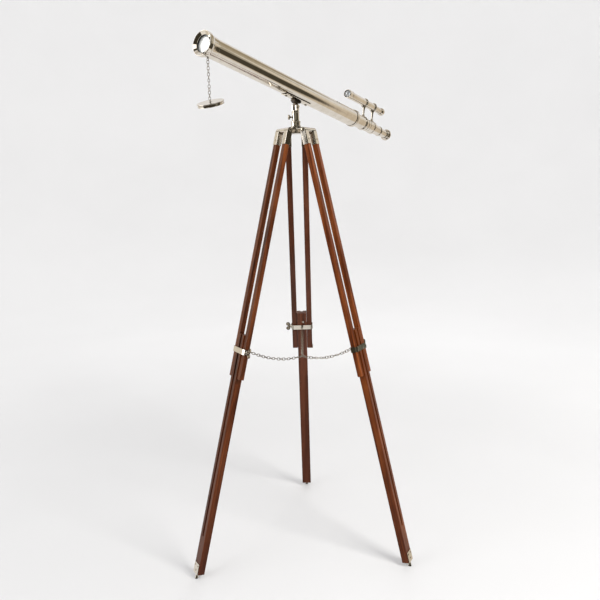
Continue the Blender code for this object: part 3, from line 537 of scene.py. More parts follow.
def link(bm, centre, tangent, side, half_length, half_width, wire_radius):
    """One oval chain link of round wire, long along the tangent and flat across the side direction."""
    long_steps = 20
    wire_steps = 8
    normal = tangent.cross(side).normalized()
    straight = half_length - half_width
    rings = []
    for step in range(long_steps):
        angle = 2 * math.pi * step / long_steps
        shift = straight if math.cos(angle) >= 0 else -straight
        core = centre + tangent * (half_width * math.cos(angle) + shift) + side * (
            half_width * math.sin(angle))
        radial = (tangent * math.cos(angle) + side * math.sin(angle)).normalized()
        ring = []
        for wire in range(wire_steps):
            turn = 2 * math.pi * wire / wire_steps
            offset = radial * math.cos(turn) + normal * math.sin(turn)
            ring.append(bm.verts.new(core + offset * wire_radius))
        rings.append(ring)
    for index in range(long_steps):
        first = rings[index]
        second = rings[(index + 1) % long_steps]
        for wire in range(wire_steps):
            after = (wire + 1) % wire_steps
            bm.faces.new([first[wire], first[after], second[after], second[wire]])


def chain(name, path, place, size, roll=10):
    """Links of one size strung along a path in the place's frame, each a quarter turn from the last."""
    half_length, half_width, wire_radius, link_pitch = size
    lengths = [0]
    for before, after in zip(path, path[1:]):
        lengths.append(lengths[-1] + (after - before).length)
    total = lengths[-1]
    count = max(2, round((total - 2 * half_length) / link_pitch) + 1)
    pitch = (total - 2 * half_length) / (count - 1)
    bm = bmesh.new()
    segment = 0
    for index in range(count):
        target = half_length + pitch * index
        while segment < len(path) - 2 and lengths[segment + 1] < target:
            segment += 1
        span = lengths[segment + 1] - lengths[segment]
        centre = path[segment].lerp(path[segment + 1], (target - lengths[segment]) / span)
        tangent = (path[segment + 1] - path[segment]).normalized()
        reference = Vector((0, 1, 0)) if abs(tangent.y) < 0.8 else Vector((1, 0, 0))
        across = tangent.cross(reference).normalized()
        upward = across.cross(tangent)
        turn = math.radians(roll + 90 * (index % 2) + 24 * math.sin(2.3 * index))
        side = across * math.cos(turn) + upward * math.sin(turn)
        link(bm, centre, tangent, side, half_length, half_width, wire_radius)
    return add_object(name, bm, place)


def torus(name, major, minor, place, segments=48):
    """Round ring whose hole looks along local Z."""
    return lathe(name, circle(minor, 16, (major, 0)), place, segments, 0)


# ---------------------------------------------------------------- tripod head

def lug_outline():
    """A hinge barrel and the web that carries it, seen from the end."""
    half_web = 6.5
    root = -HINGE_RADIUS + 4
    meet = -math.sqrt(BARREL_RADIUS ** 2 - half_web ** 2)
    barrel = circle(BARREL_RADIUS)
    web = [(-half_web, meet), (-half_web, root), (half_web, root), (half_web, meet)]
    return barrel[-4:] + barrel[:29] + web


def build_hub(frames):
    lug_half_width = ROD_OFFSET - ROD_HALF_WIDTH - FERRULE_WALL - 2 * FIT
    rim = HUB_RADIUS + 2.5
    hub = lathe("tripod_hub_body", [
        (0, HUB_BOTTOM), (rim, HUB_BOTTOM), (rim, HUB_BOTTOM + 2.6), (HUB_RADIUS, HUB_BOTTOM + 3.4),
        (HUB_RADIUS, HUB_TOP - 2.6), (HUB_RADIUS + 0.8, HUB_TOP - 2.2),
        (HUB_RADIUS + 0.8, HUB_TOP - 0.7), (HUB_RADIUS, HUB_TOP), (0, HUB_TOP),
    ], Matrix.Identity(4), 96, 0.6)
    for name, (place, _) in frames.items():
        level = Matrix.Translation(place.translation) @ Matrix.Rotation(
            math.radians(LEGS[name][0]) - math.pi / 2, 4, "Z")
        lug = prism("lug", lug_outline(), -lug_half_width, lug_half_width, along_x(level))
        drill(lug, BOLT_RADIUS, along_x(level), 30)
        combine(hub, lug)
    finish(hub, "stand", ["tripod_hub"], CAST_METAL, 0.5)


def build_head(tube_place):
    identity = Matrix.Identity(4)
    base = HUB_TOP + FIT
    bore = STEM_RADIUS + FIT
    post = lathe("socket_post_body", [
        (bore, base), (COLLAR_RADIUS, base), (COLLAR_RADIUS, base + 3.4), (COLLAR_RADIUS - 0.9, base + 4),
        (COLLAR_RADIUS - 0.9, COLLAR_TOP - 5), (COLLAR_RADIUS, COLLAR_TOP - 4.4),
        (COLLAR_RADIUS, COLLAR_TOP - 1.4), (COLLAR_RADIUS - 1.6, COLLAR_TOP),
        (POST_RADIUS, COLLAR_TOP), (POST_RADIUS, POST_TOP - 3.2), (POST_RADIUS + 0.7, POST_TOP - 2.6),
        (POST_RADIUS + 0.7, POST_TOP - 0.6), (POST_RADIUS, POST_TOP), (bore, POST_TOP),
    ], identity, 96, 0.6)
    pan_axis = shifted(identity, z=PAN_SCREW_HEIGHT) @ along_x(
        Matrix.Rotation(math.radians(PAN_SCREW_AZIMUTH), 4, "Z"))
    combine(post, prism("hole", circle(2.5), 3, 15, pan_axis), "DIFFERENCE")
    finish(post, "stand", ["socket_post"], TURNED_METAL)

    head_start = 19
    screw = lathe("pan_thumb_screw_body", [
        (0, STEM_RADIUS + FIT), (2.2, STEM_RADIUS + FIT), (2.2, head_start - 3),
        (3.8, head_start - 2.4), (3.8, head_start), (7.5, head_start + 0.4),
        (7.5, head_start + 4.6), (6.6, head_start + 5.4), (3, head_start + 4.9),
        (0, head_start + 4.7),
    ], pan_axis, 64, 0.35)
    notch_count = 20
    for step in range(notch_count):
        angle = 2 * math.pi * step / notch_count
        spot = (7.9 * math.cos(angle), 7.9 * math.sin(angle))
        notch = prism("notch", circle(0.75, 10, spot), head_start - 1, head_start + 6.5, pan_axis)
        combine(screw, notch, "DIFFERENCE")
    finish(screw, "pan_screw", ["pan_thumb_screw"], SCREW_METAL)

    flange_bottom = POST_TOP + FIT
    flange_top = flange_bottom + 4.2
    yoke = lathe("yoke_body", [
        (0, 1423.5), (STEM_RADIUS, 1423.5), (STEM_RADIUS, flange_bottom), (11, flange_bottom),
        (11, flange_top - 1), (10, flange_top), (0, flange_top),
    ], identity, 96, 0.5)
    tilt_level = shifted(identity, z=TILT_HEIGHT) @ Matrix.Rotation(math.radians(-AZIMUTH), 4, "Z")
    tilt_axis = along_x(tilt_level)
    drop = TILT_HEIGHT - flange_top + 1
    outline = [(drop, -CHEEK_RADIUS), (drop, CHEEK_RADIUS)]
    for step in range(25):
        angle = math.radians(90 + 7.5 * step)
        outline.append((CHEEK_RADIUS * math.cos(angle), CHEEK_RADIUS * math.sin(angle)))
    for low, high in ((-CHEEK_OUTER, -CHEEK_INNER), (CHEEK_INNER, CHEEK_OUTER)):
        combine(yoke, prism("cheek", outline, low, high, tilt_axis))
    drill(yoke, TILT_BOLT_RADIUS, tilt_axis)
    finish(yoke, "head", ["yoke"], CAST_METAL, 0.5)

    rise = AXIS_HEIGHT - TILT_HEIGHT
    station = -rise * math.sin(math.radians(ELEVATION))
    fall = -rise * math.cos(math.radians(ELEVATION))
    block_top = -(TUBE_RADIUS + SADDLE_THICKNESS + 2 * FIT)
    block_bottom = block_top - 9
    block_place = shifted(tube_place, 0, 0, station)
    side_outline = [
        (-16, block_top), (16, block_top), (16, block_top - 4.5),
        (7, block_bottom), (-7, block_bottom), (-16, block_top - 4.5)]
    facing = frame_from_axes(Vector((0, 0, 1)), Vector((0, 1, 0)), Vector((-1, 0, 0)), Vector((0, 0, 0)))
    block = prism("tilt_block_body", side_outline, -8.5, 8.5, block_place @ facing)
    tongue_half = CHEEK_INNER - FIT
    combine(block, prism("tongue", circle(7), -tongue_half, tongue_half,
                         along_x(shifted(block_place, 0, fall, 0))))
    neck = [(-7, fall), (7, fall), (7, block_bottom + 1), (-7, block_bottom + 1)]
    combine(block, prism("neck", neck, -tongue_half, tongue_half, block_place @ facing))
    drill(block, TILT_BOLT_RADIUS, tilt_axis)
    finish(block, "telescope", ["tilt_block"], BRONZE, 0.4)

    head = CHEEK_OUTER + FIT
    bolt = lathe("tilt_bolt_body", [
        (0, -head - 4), (3.4, -head - 4), (4.6, -head - 3), (4.6, -head),
        (TILT_BOLT_RADIUS, -head), (TILT_BOLT_RADIUS, head), (5.6, head), (5.9, head + 1.2),
        (5.6, head + 3), (4.2, head + 4.3), (2.2, head + 4.6), (0, head + 4.7),
    ], tilt_axis, 48, 0.4)
    finish(bolt, "tilt_knob", ["tilt_bolt"], SCREW_METAL)
    return station


def build_saddle(tube_place, station):
    """Curved plate hugging the underside of the main tube, with a fixing screw near each end."""
    inner = TUBE_RADIUS + FIT
    outer = inner + SADDLE_THICKNESS
    half_spread = 26
    steps = 24
    arc = [math.radians(-90 + half_spread * (2 * step / steps - 1)) for step in range(steps + 1)]
    outline = [(outer * math.cos(a), outer * math.sin(a)) for a in arc]
    outline += [(inner * math.cos(a), inner * math.sin(a)) for a in reversed(arc)]
    saddle = prism("saddle_plate_body", outline, station - SADDLE_HALF_LENGTH, station + SADDLE_HALF_LENGTH,
                   tube_place)
    low = -outer - 3
    high = -(TUBE_RADIUS + SADDLE_THICKNESS + FIT)
    flat = [(-8.7, low), (8.7, low), (8.7, high), (-8.7, high)]
    combine(saddle, prism("flat", flat, station - 16.3, station + 16.3, tube_place), "DIFFERENCE")
    finish(saddle, "telescope", ["saddle_plate"], TURNED_METAL, 0.7)
    downward = Matrix.Rotation(math.radians(90), 4, "X")
    for label, end in (("front", 1), ("rear", -1)):
        place = shifted(tube_place, 0, -outer, station + end * (SADDLE_HALF_LENGTH - 9)) @ downward
        slotted_screw(f"saddle_screw_{label}", 4.2, 2.8, place, "telescope")


# ---------------------------------------------------------------- telescope

def dome(radius, edge, sag, steps=10):
    """Profile points of a shallow lens face from the axis out to its edge."""
    points = []
    for step in range(steps + 1):
        across = step / steps
        points.append((radius * across, edge + sag * (1 - across ** 2)))
    return points


def build_optical_tube(place):
    slip = TUBE_RADIUS + FIT
    inner = TUBE_RADIUS - 1.5
    turned("main_tube", [
        (inner, TUBE_REAR), (TUBE_RADIUS, TUBE_REAR), (TUBE_RADIUS, TUBE_FRONT), (inner, TUBE_FRONT),
    ], place, segments=160, reach=0.3, material=TUBE_METAL)
    opening = 23.9
    lens_seat = 26.2
    turned("objective_cell", [
        (slip, 360), (29.2, 360), (29.4, 366), (30, 374), (30.7, 381.5),
        (31.4, 384.5), (33.2, 386.8), (34.2, 389), (34.4, 391.5), (34.4, 398.8),
        (33.9, 400.6), (33.2, 401.3), (opening + 0.7, 396.5), (opening, 396),
        (opening, 394.5), (lens_seat, 394.5), (lens_seat, TUBE_FRONT + FIT), (slip, TUBE_FRONT + FIT),
    ], place, segments=160)
    edge = lens_seat - FIT
    front = dome(edge, 389.3, 4.1)
    back = dome(edge, 380, 2.5)
    turned("objective_doublet", back + front[::-1], place, segments=96, reach=0,
           material=OBJECTIVE_GLASS)

    turned("tail_collar", [
        (slip, -324), (29.3, -324), (29.7, -325.2), (29.7, -329), (30.2, -330),
        (30.2, -336), (29.6, -338.4), (26.5, -340),
        (SLEEVE_RADIUS + FIT, -340), (SLEEVE_RADIUS + FIT, TUBE_REAR - FIT), (slip, TUBE_REAR - FIT),
    ], place)
    rim_rear, rim_front = SLEEVE_RIM
    sleeve_bore = REAR_SLEEVE_RADIUS + FIT
    turned("tail_sleeve", [
        (sleeve_bore, -305), (SLEEVE_RADIUS, -305), (SLEEVE_RADIUS, rim_front + 4),
        (SLEEVE_RADIUS - 0.6, rim_front + 3.2), (SLEEVE_RADIUS - 0.6, rim_front + 2),
        (SLEEVE_RIM_RADIUS - 1, rim_front), (SLEEVE_RIM_RADIUS - 0.2, rim_front - 1.4),
        (SLEEVE_RIM_RADIUS, rim_front - 3), (SLEEVE_RIM_RADIUS, rim_rear + 1.6),
        (SLEEVE_RIM_RADIUS - 0.8, rim_rear + 0.2), (sleeve_bore, rim_rear),
    ], place)
    rear_bore = FOCUS_RADIUS + FIT
    turned("rear_sleeve", [
        (rear_bore, -385), (REAR_SLEEVE_RADIUS, -385), (REAR_SLEEVE_RADIUS, -414.8), (20.3, -415.8),
        (20.3, -417.7), (REAR_SLEEVE_RADIUS, -418.7), (REAR_SLEEVE_RADIUS, -429), (20.6, -429.6),
        (20.6, -430.6), (REAR_SLEEVE_RADIUS, -431.2), (REAR_SLEEVE_RADIUS, -455.2),
        (REAR_RIM_RADIUS - 0.2, -457), (REAR_RIM_RADIUS, -459), (REAR_RIM_RADIUS, -467.2),
        (21.4, -469), (rear_bore, -469),
    ], place, reach=0.4)
    focus_bore = EYEPIECE_RADIUS + FIT
    turned("focus_tube", [
        (focus_bore, -385), (FOCUS_RADIUS, -385), (FOCUS_RADIUS, -506.8), (16.2, -508),
        (16.2, -508.8), (17.8, -510.8), (18.2, -512.2), (18.2, -514.5), (17.4, -515.5), (focus_bore, -515.5),
    ], place, "focus_draw", reach=0.4)
    turned("eyepiece_tube", [
        (12.8, -560), (EYEPIECE_RADIUS, -560), (EYEPIECE_RADIUS, -460), (12.8, -460),
    ], place, "eyepiece", segments=96, reach=0.3)
    cup_bore = EYEPIECE_RADIUS + FIT
    turned("eye_cup", [
        (cup_bore, -555.5), (15.4, -555.5), (16.6, -556.6), (17.2, -558.4), (17.2, -562.2),
        (19, -564), (20.6, -566.4), (21, -569), (21, -572.8), (20.2, -575.2), (19, -575.4),
        (16, -574.4), (12, -573.2), (7.4, -571.5), (6, -570.3), (6, -569),
        (11.4, -569), (11.4, -560.3), (cup_bore, -560.3),
    ], place, "eyepiece", reach=0.6)
    turned("eye_lens", [
        (0, -567.5), (3, -567.4), (6, -567), (9, -566.3), (11.1, -565.5),
        (11.1, -562), (0, -562)], place,
        "eyepiece", segments=64, reach=0, material=SMALL_GLASS)
    turned("field_lens", [
        (0, -489), (12.5, -489), (12.5, -486.5), (10, -485.7), (7, -485.1),
        (3.5, -484.7), (0, -484.5)], place,
        "eyepiece", segments=64, reach=0, material=SMALL_GLASS)


def finder_ring(station):
    """Profile of one raised ring with long rounded shoulders, from its rear end to its front end."""
    rear = station - FINDER_RING_HALF_LENGTH
    front = station + FINDER_RING_HALF_LENGTH
    return [
        (FINDER_RADIUS, rear), (FINDER_RING_RADIUS - 1.4, rear + 1),
        (FINDER_RING_RADIUS - 0.2, rear + 2.4), (FINDER_RING_RADIUS, rear + 3.8),
        (FINDER_RING_RADIUS, front - 4.2), (FINDER_RING_RADIUS - 0.6, front - 3),
        (FINDER_RING_RADIUS - 2, front - 1.3), (FINDER_RADIUS, front)]


def build_finder(tube_place):
    place = shifted(tube_place, 0, FINDER_OFFSET, 0)
    bore = FINDER_DRAW_RADIUS + FIT
    slip = FINDER_RADIUS + FIT
    lens_radius = 12.9
    turned("finder_cell", [
        (slip, -310), (14.3, -310), (14.8, -308.8), (14.8, -306.8), (14.4, -305.6),
        (14.4, -292.5), (14.8, -291.2), (14.8, -288.5), (14.2, -286.5),
        (lens_radius + FIT, -286.5), (lens_radius + FIT, -302), (slip, -302),
    ], place, segments=96)
    ball = dome(lens_radius, -290, 7.5, 16)
    turned("finder_objective", [(0, -300), (lens_radius, -300)] + ball[::-1], place, segments=96,
           reach=0, material=SMALL_GLASS)
    front_station, rear_station = POST_STATIONS
    turned("finder_body", [
        (bore, rear_station - FINDER_RING_HALF_LENGTH), *finder_ring(rear_station),
        *finder_ring(front_station), (FINDER_RADIUS, -300.5), (bore, -300.5),
    ], place, segments=96, suffix="tube")
    turned("finder_draw", [
        (10, -513), (FINDER_DRAW_RADIUS, -513), (FINDER_DRAW_RADIUS, -425), (10, -425),
    ], place, "finder_eyepiece", segments=64, reach=0.3, suffix="tube")
    slide = FINDER_DRAW_RADIUS + FIT
    turned("finder_eye_ring", [
        (slide, -507), (12, -507), (12.4, -508.2), (13.4, -512), (14, -515.5),
        (14, -522), (13, -525), (7.5, -523.5), (4.5, -520.5), (4.5, -519),
        (10, -519), (10, -513.3), (slide, -513.3)], place, "finder_eyepiece", segments=96)
    turned("finder_eye_lens", [(0, -511.5), (5, -511.2), (9.7, -510.5), (9.7, -508), (0, -508)],
           place, "finder_eyepiece", segments=64, reach=0, material=SMALL_GLASS)

    stages = ((SLEEVE_RADIUS, SLEEVE_RIM_RADIUS), (REAR_SLEEVE_RADIUS, REAR_RIM_RADIUS))
    for name, station, (stage, stage_rim) in zip(("front", "rear"), POST_STATIONS, stages):
        low = stage - 3
        high = FINDER_OFFSET - FINDER_RADIUS + 4
        middle = (low + high) / 2
        half = (high - low) / 2
        profile = [(0, low)]
        steps = 24
        for step in range(steps + 1):
            along = 2 * step / steps - 1
            profile.append((3.6 + (POST_BASE_RADIUS - 3.6) * abs(along) ** 3.2, middle + half * along))
        profile.append((0, high))
        upright = along_y(shifted(tube_place, z=station))
        post = lathe(f"finder_post_{name}_body", profile, upright, 64, 0)
        for rim, length_place in ((stage_rim, tube_place), (FINDER_RING_RADIUS, place)):
            cutter = prism("cutter", circle(rim + FIT, 96), station - 30, station + 30, length_place)
            combine(post, cutter, "DIFFERENCE")
        finish(post, "telescope", [f"finder_post_{name}"], TURNED_METAL, 0.3)


def build_dust_cap(tube_place):
    eyelet_radius = 3
    wire = 0.8
    root = -CAP_NECK_RADIUS - FIT
    eyelet_place = shifted(tube_place, 0, root - eyelet_radius - 1.2, CAP_STATION)
    eyelet = torus("cap_eyelet_ring", eyelet_radius, wire, along_x(eyelet_place))
    peg = lathe("peg", [(0, 0), (1.3, 0), (1.9, 1.6), (0, 1.6)],
                along_y(shifted(tube_place, 0, root - 1.6, CAP_STATION)), 24, 0)
    combine(eyelet, peg)
    finish(eyelet, "telescope", ["cap_eyelet"], SCREW_METAL)

    top = eyelet_place.translation + Vector((0, 0, -(eyelet_radius + wire + LINK_GAP) * MM))
    hook = Vector((0, 0, eyelet_radius + LINK_GAP - 1.2))
    foot = Vector((0, 0, -CAP_CHAIN_LENGTH - LINK_GAP - 2.4))
    strand = chain("cap_chain_links", [hook.lerp(foot, step / 12) for step in range(13)],
                   Matrix.Translation(top), CAP_LINK, 20)
    finish(strand, "hanging_chain", ["cap_chain"], WIRE_METAL, weighted=False)

    pivot = shifted(Matrix.Translation(top), z=-CAP_CHAIN_LENGTH - LINK_GAP)
    place = pivot @ Matrix.Rotation(math.radians(17), 4, "X") @ Matrix.Rotation(math.radians(-8), 4, "Y")
    disc = -2 * (2.4 + wire)
    inner = 34.9
    wall = inner + 1.5
    rim = wall + 1.4
    cap = lathe("dust_cap_body", [
        (0, disc), (30, disc), (30.6, disc + 0.25), (31.2, disc), (rim - 0.5, disc),
        (rim, disc - 0.5), (rim, disc - 1.9), (wall, disc - 2.3), (wall, disc - CAP_DEPTH + 1.4),
        (wall + 0.5, disc - CAP_DEPTH + 0.9), (wall, disc - CAP_DEPTH), (inner, disc - CAP_DEPTH),
        (inner, disc - 1.8), (0, disc - 1.8),
    ], place, 128, 0.4)
    combine(cap, lathe("stud", [
        (0, disc - 1), (3.4, disc - 1), (3.2, disc + 0.6), (1.6, disc + 1.4),
        (0, disc + 1.6)], place, 32, 0.2))
    combine(cap, torus("loop", 2.4, wire, along_x(shifted(place, 0, 0, -2.4 - wire))))
    finish(cap, "cap", ["dust_cap"], TURNED_METAL)


# ---------------------------------------------------------------- tripod legs

def build_ferrule(leg, label, side, place):
    half_x = ROD_HALF_WIDTH + FIT + FERRULE_WALL
    half_y = ROD_HALF_DEPTH + FIT + FERRULE_WALL
    here = shifted(place, side * ROD_OFFSET)
    outline = soften(rectangle(half_x, half_y), 2.2, True)
    ferrule = prism(f"leg_{leg}_ferrule_{label}_cap", outline, FERRULE_BOTTOM, FERRULE_TOP, here)
    combine(ferrule, prism("barrel", circle(BARREL_RADIUS), -half_x, half_x, along_x(here)))
    pocket = rectangle(ROD_HALF_WIDTH + FIT, ROD_HALF_DEPTH + FIT)
    combine(ferrule, prism("pocket", pocket, FERRULE_BOTTOM - 5, ROD_TOP + FIT, here), "DIFFERENCE")
    drill(ferrule, BOLT_RADIUS, along_x(here))
    finish(ferrule, f"leg_{leg}", [f"leg_{leg}_ferrule_{label}"], SHEET_METAL, 0.5)
    for end, turn in ((1, 20), (-1, 70)):
        spot = shifted(here, 0, end * half_y, -31) @ Matrix.Rotation(math.radians(-90 * end), 4, "X")
        side_name = "outer" if end > 0 else "inner"
        slotted_screw(f"leg_{leg}_ferrule_{label}_screw_{side_name}", 2.6, 1.2, spot, f"leg_{leg}", turn)


def band_outline(inset):
    """Half of the clamp strip's plan, bent back near both ends, pulled in by the strip's thickness."""
    fold_x = 30.5
    end_y = 9.4
    corner_x = BAND_HALF_X - inset
    return [
        (corner_x, end_y - 0.6 * inset), (fold_x - 0.35 * inset, BAND_HALF_Y - inset),
        (-fold_x + 0.35 * inset, BAND_HALF_Y - inset), (-corner_x, end_y - 0.6 * inset),
        (-corner_x, -end_y + 0.6 * inset), (-fold_x + 0.35 * inset, -BAND_HALF_Y + inset),
        (fold_x - 0.35 * inset, -BAND_HALF_Y + inset), (corner_x, -end_y + 0.6 * inset)]


def build_band(leg, place):
    low = BAND_CENTRE - BAND_HALF_HEIGHT
    high = BAND_CENTRE + BAND_HALF_HEIGHT
    band = prism(f"leg_{leg}_clamp_strip", soften(band_outline(0), 1.6, True), low, high, place)
    inside = soften(band_outline(BAND_WALL), 1, True)
    combine(band, prism("inside", inside, low - 10, high + 10, place), "DIFFERENCE")
    boss_place = shifted(place, 0, 0, BAND_CENTRE) @ Matrix.Rotation(math.radians(-90), 4, "Y")
    start = BAND_HALF_X - BAND_WALL * 0.6
    boss = lathe("boss", [
        (0, start), (8.2, start), (8.2, BAND_HALF_X + 1.6), (7.2, BAND_HALF_X + 2.4),
        (6, BAND_HALF_X + 2.6), (5.4, BAND_HALF_X + 4),
        (0, BAND_HALF_X + 4)], boss_place, 48, 0.5)
    combine(band, boss)
    hole = prism("hole", circle(2.7), BAND_HALF_X - 10, BAND_HALF_X + 10, boss_place)
    combine(band, hole, "DIFFERENCE")
    eye_place = along_x(shifted(place, 0, -BAND_HALF_Y - 3.3, BAND_CENTRE))
    tab = lathe("tab", [(2.4, -0.9), (4.5, -0.9), (4.5, 0.9), (2.4, 0.9)],
                eye_place, 48, 0.35)
    combine(band, tab)
    finish(band, f"leg_{leg}", [f"leg_{leg}_clamp_band"], SHEET_METAL, 0.35)


def build_wing_screw(leg, place):
    axis = shifted(place, 0, 0, BAND_CENTRE) @ Matrix.Rotation(math.radians(-90), 4, "Y")
    start = ROD_OFFSET + ROD_HALF_WIDTH + FIT
    hub = BAND_HALF_X + 4 + FIT
    screw = lathe(f"leg_{leg}_wing_nut", [
        (0, start), (2.4, start), (2.4, hub), (5.4, hub), (5.6, hub + 0.8),
        (4.4, hub + 2.2), (4.2, hub + 6), (3.4, hub + 7.6), (2, hub + 8),
        (1.9, hub + 7), (0, hub + 7),
    ], axis, 48, 0.35)
    for side in (-1, 1):
        ear_place = shifted(axis, side * 8.5, 0, hub + 8) @ Matrix.Rotation(math.radians(90), 4, "X")
        ear = lathe("ear", [
            (0, -0.8), (5.2, -0.8), (6.2, -1.35), (7.5, -0.9),
            (7.5, 0.9), (6.2, 1.35), (5.2, 0.8), (0, 0.8)],
            ear_place, 48, 0.4)
        combine(screw, ear)
    finish(screw, f"leg_{leg}_wing", [f"leg_{leg}_wing_screw"], WING_METAL)


def build_lower_leg(leg, place, length, wood):
    bottom = -(length - WOOD_END_TO_FLOOR)
    top = bottom + LOWER_LENGTH
    outline = soften(rectangle(LOWER_HALF_WIDTH, LOWER_HALF_DEPTH), 1.3, True)
    body = prism(f"leg_{leg}_lower_wood", outline, bottom, top, place)
    groove_end = bottom + GROOVE_STOP_ABOVE_END
    plan = [(GROOVE_HALF_WIDTH, top + 10), (-GROOVE_HALF_WIDTH, top + 10)]
    for step in range(13):
        angle = math.radians(180 + 15 * step)
        plan.append((
            GROOVE_HALF_WIDTH * math.cos(angle), groove_end + GROOVE_HALF_WIDTH * (1 + math.sin(angle))))
    facing = frame_from_axes(Vector((1, 0, 0)), Vector((0, 0, 1)), Vector((0, -1, 0)), Vector((0, 0, 0)))
    cutter = prism(
        "groove", plan, -LOWER_HALF_DEPTH - 10, -LOWER_HALF_DEPTH + GROOVE_DEPTH, place @ facing)
    combine(body, cutter, "DIFFERENCE")
    finish(body, f"leg_{leg}_lower", [f"leg_{leg}_lower_leg"], wood, 0.5)
    stop = shifted(place, 4, -LOWER_HALF_DEPTH, BAND_CENTRE + 21)
    plug = prism(f"leg_{leg}_stop_plate", soften(rectangle(3.4, 3.4), 0.5, True), -0.3, 0.7,
                 stop @ Matrix.Rotation(math.radians(90), 4, "X"))
    finish(plug, f"leg_{leg}_lower", [], SHEET_METAL, 0.2)
    return bottom


def build_shoe(leg, place, bottom):
    """Angle plate on the outer face and under the end of the leg, with its screws and a round foot."""
    face = LOWER_HALF_DEPTH + FIT
    outer = face + SHOE_THICKNESS
    shelf_top = bottom - FIT
    outline = [
        (-4, shelf_top - SHOE_THICKNESS), (outer - 1.2, shelf_top - SHOE_THICKNESS),
        (outer, shelf_top - SHOE_THICKNESS + 1.2), (outer, bottom + SHOE_HEIGHT),
        (face, bottom + SHOE_HEIGHT), (face, shelf_top), (-4, shelf_top)]
    turn = frame_from_axes(Vector((0, 1, 0)), Vector((0, 0, 1)), Vector((1, 0, 0)), Vector((0, 0, 0)))
    shoe = prism(f"leg_{leg}_shoe_plate", outline, -SHOE_HALF_WIDTH, SHOE_HALF_WIDTH, place @ turn)
    tip = lathe("tip", [
        (0, shelf_top - 30), (TIP_RADIUS, shelf_top - 30), (TIP_RADIUS, shelf_top - 5),
        (TIP_RADIUS + 0.8, shelf_top - 4), (TIP_RADIUS + 0.8, shelf_top - 0.5),
        (0, shelf_top - 0.5)], shifted(place, 0, TIP_OFFSET), 48, 0.4)
    combine(shoe, tip)
    combine(shoe, prism("floor", rectangle(1000, 1000), -100, 0, Matrix.Identity(4)), "DIFFERENCE")
    finish(shoe, f"leg_{leg}_lower", [f"leg_{leg}_shoe"], SHEET_METAL, 0.4)
    spots = ((-9, 26, 15), (9, 26, 65), (0, 11, 100))
    for index, (x, up, slot_turn) in enumerate(spots):
        spot = along_y(shifted(place, x, outer, bottom + up))
        slotted_screw(f"leg_{leg}_shoe_screw_{index + 1}", 3, 1.1, spot, f"leg_{leg}_lower", slot_turn)


def build_strand(leg, place):
    eye = shifted(place, 0, -BAND_HALF_Y - 3.3, BAND_CENTRE).translation / MM
    inward = Vector((-eye.x, -eye.y, 0)).normalized()
    start = eye + inward * 2.2
    end = Vector((-inward.x * STRAND_END_RADIUS, -inward.y * STRAND_END_RADIUS, RING_HEIGHT))
    steps = 60
    path = []
    for step in range(steps + 1):
        along = step / steps
        sag = Vector((0, 0, 4 * STRAND_SAG * along * (1 - along)))
        path.append(start.lerp(end, along) - sag - start)
    strand = chain(f"leg_{leg}_chain_links", path, Matrix.Translation(start * MM), SPREADER_LINK)
    finish(strand, f"leg_{leg}_chain", [f"leg_{leg}_chain_strand"], WIRE_METAL, weighted=False)
    outward = -inward
    near = outward * (RING_RADIUS - 1.4)
    far = outward * (STRAND_END_RADIUS + 2.6)
    return [near, far]


def build_ring(stubs):
    centre = shifted(Matrix.Identity(4), z=RING_HEIGHT)
    ring = torus("spreader_ring_wire", RING_RADIUS, 1.1, centre)
    finish(ring, "spreader_ring", ["chain_ring"], WIRE_METAL, weighted=False)
    for leg, (near, far) in stubs.items():
        path = [near.lerp(far, step / 4) for step in range(5)]
        stub = chain(f"leg_{leg}_ring_links", path, centre, CAP_LINK, 0)
        finish(stub, "spreader_ring", [], WIRE_METAL, weighted=False)


def build_rod_clip(leg, place):
    """Small bent brass clip round the lower end of one rod."""
    here = shifted(place, ROD_OFFSET + 2, 0, ROD_BOTTOM)
    side = ROD_HALF_WIDTH - 2
    clip = prism(f"leg_{leg}_rod_clip", soften(rectangle(side + 2, 5.5), 1.2, True),
                 -2.4, -0.4, here)
    combine(clip, prism("tab", soften(rectangle(0.9, 5), 0.4, True), -2, 9,
                        shifted(here, side + 1.2)))
    finish(clip, f"leg_{leg}", [], BRASS, 0.4)


def build_leg(leg, place, length, seed):
    # The per-leg wood colours carry painted light and shade.
    deep, mid, bright = LEG_WOODS_LIT_AND_SHADED[leg]
    for label, side in (("a", -1), ("b", 1)):
        wood = stained_wood(f"leg_{leg}_rod_{label}_mahogany", deep, mid, bright, seed + 2 * side)
        outline = soften(rectangle(ROD_HALF_WIDTH, ROD_HALF_DEPTH), 2.2, True)
        rod = prism(
            f"leg_{leg}_rod_{label}_wood", outline, ROD_BOTTOM, ROD_TOP, shifted(place, side * ROD_OFFSET))
        finish(rod, f"leg_{leg}", [f"leg_{leg}_rod_{label}"], wood, 0.5)
        build_ferrule(leg, label, side, place)
    head = ROD_OFFSET + ROD_HALF_WIDTH + FERRULE_WALL + 2 * FIT
    bolt = lathe(f"leg_{leg}_hinge_pin", [
        (0, -head - 3), (3.2, -head - 2.7), (BOLT_HEAD_RADIUS, -head - 1.2),
        (BOLT_HEAD_RADIUS, -head), (BOLT_RADIUS, -head), (BOLT_RADIUS, head), (BOLT_HEAD_RADIUS, head),
        (BOLT_HEAD_RADIUS, head + 1.2), (3.2, head + 2.7), (0, head + 3),
    ], along_x(place), 48, 0.4)
    finish(bolt, "stand", [f"leg_{leg}_hinge_bolt"], SCREW_METAL)
    if leg == "back":
        build_rod_clip(leg, place)
    build_band(leg, place)
    build_wing_screw(leg, place)
    wood = stained_wood(f"leg_{leg}_lower_mahogany", deep, mid, bright, seed)
    bottom = build_lower_leg(leg, place, length, wood)
    build_shoe(leg, place, bottom)
    return build_strand(leg, place)


# ---------------------------------------------------------------- stage

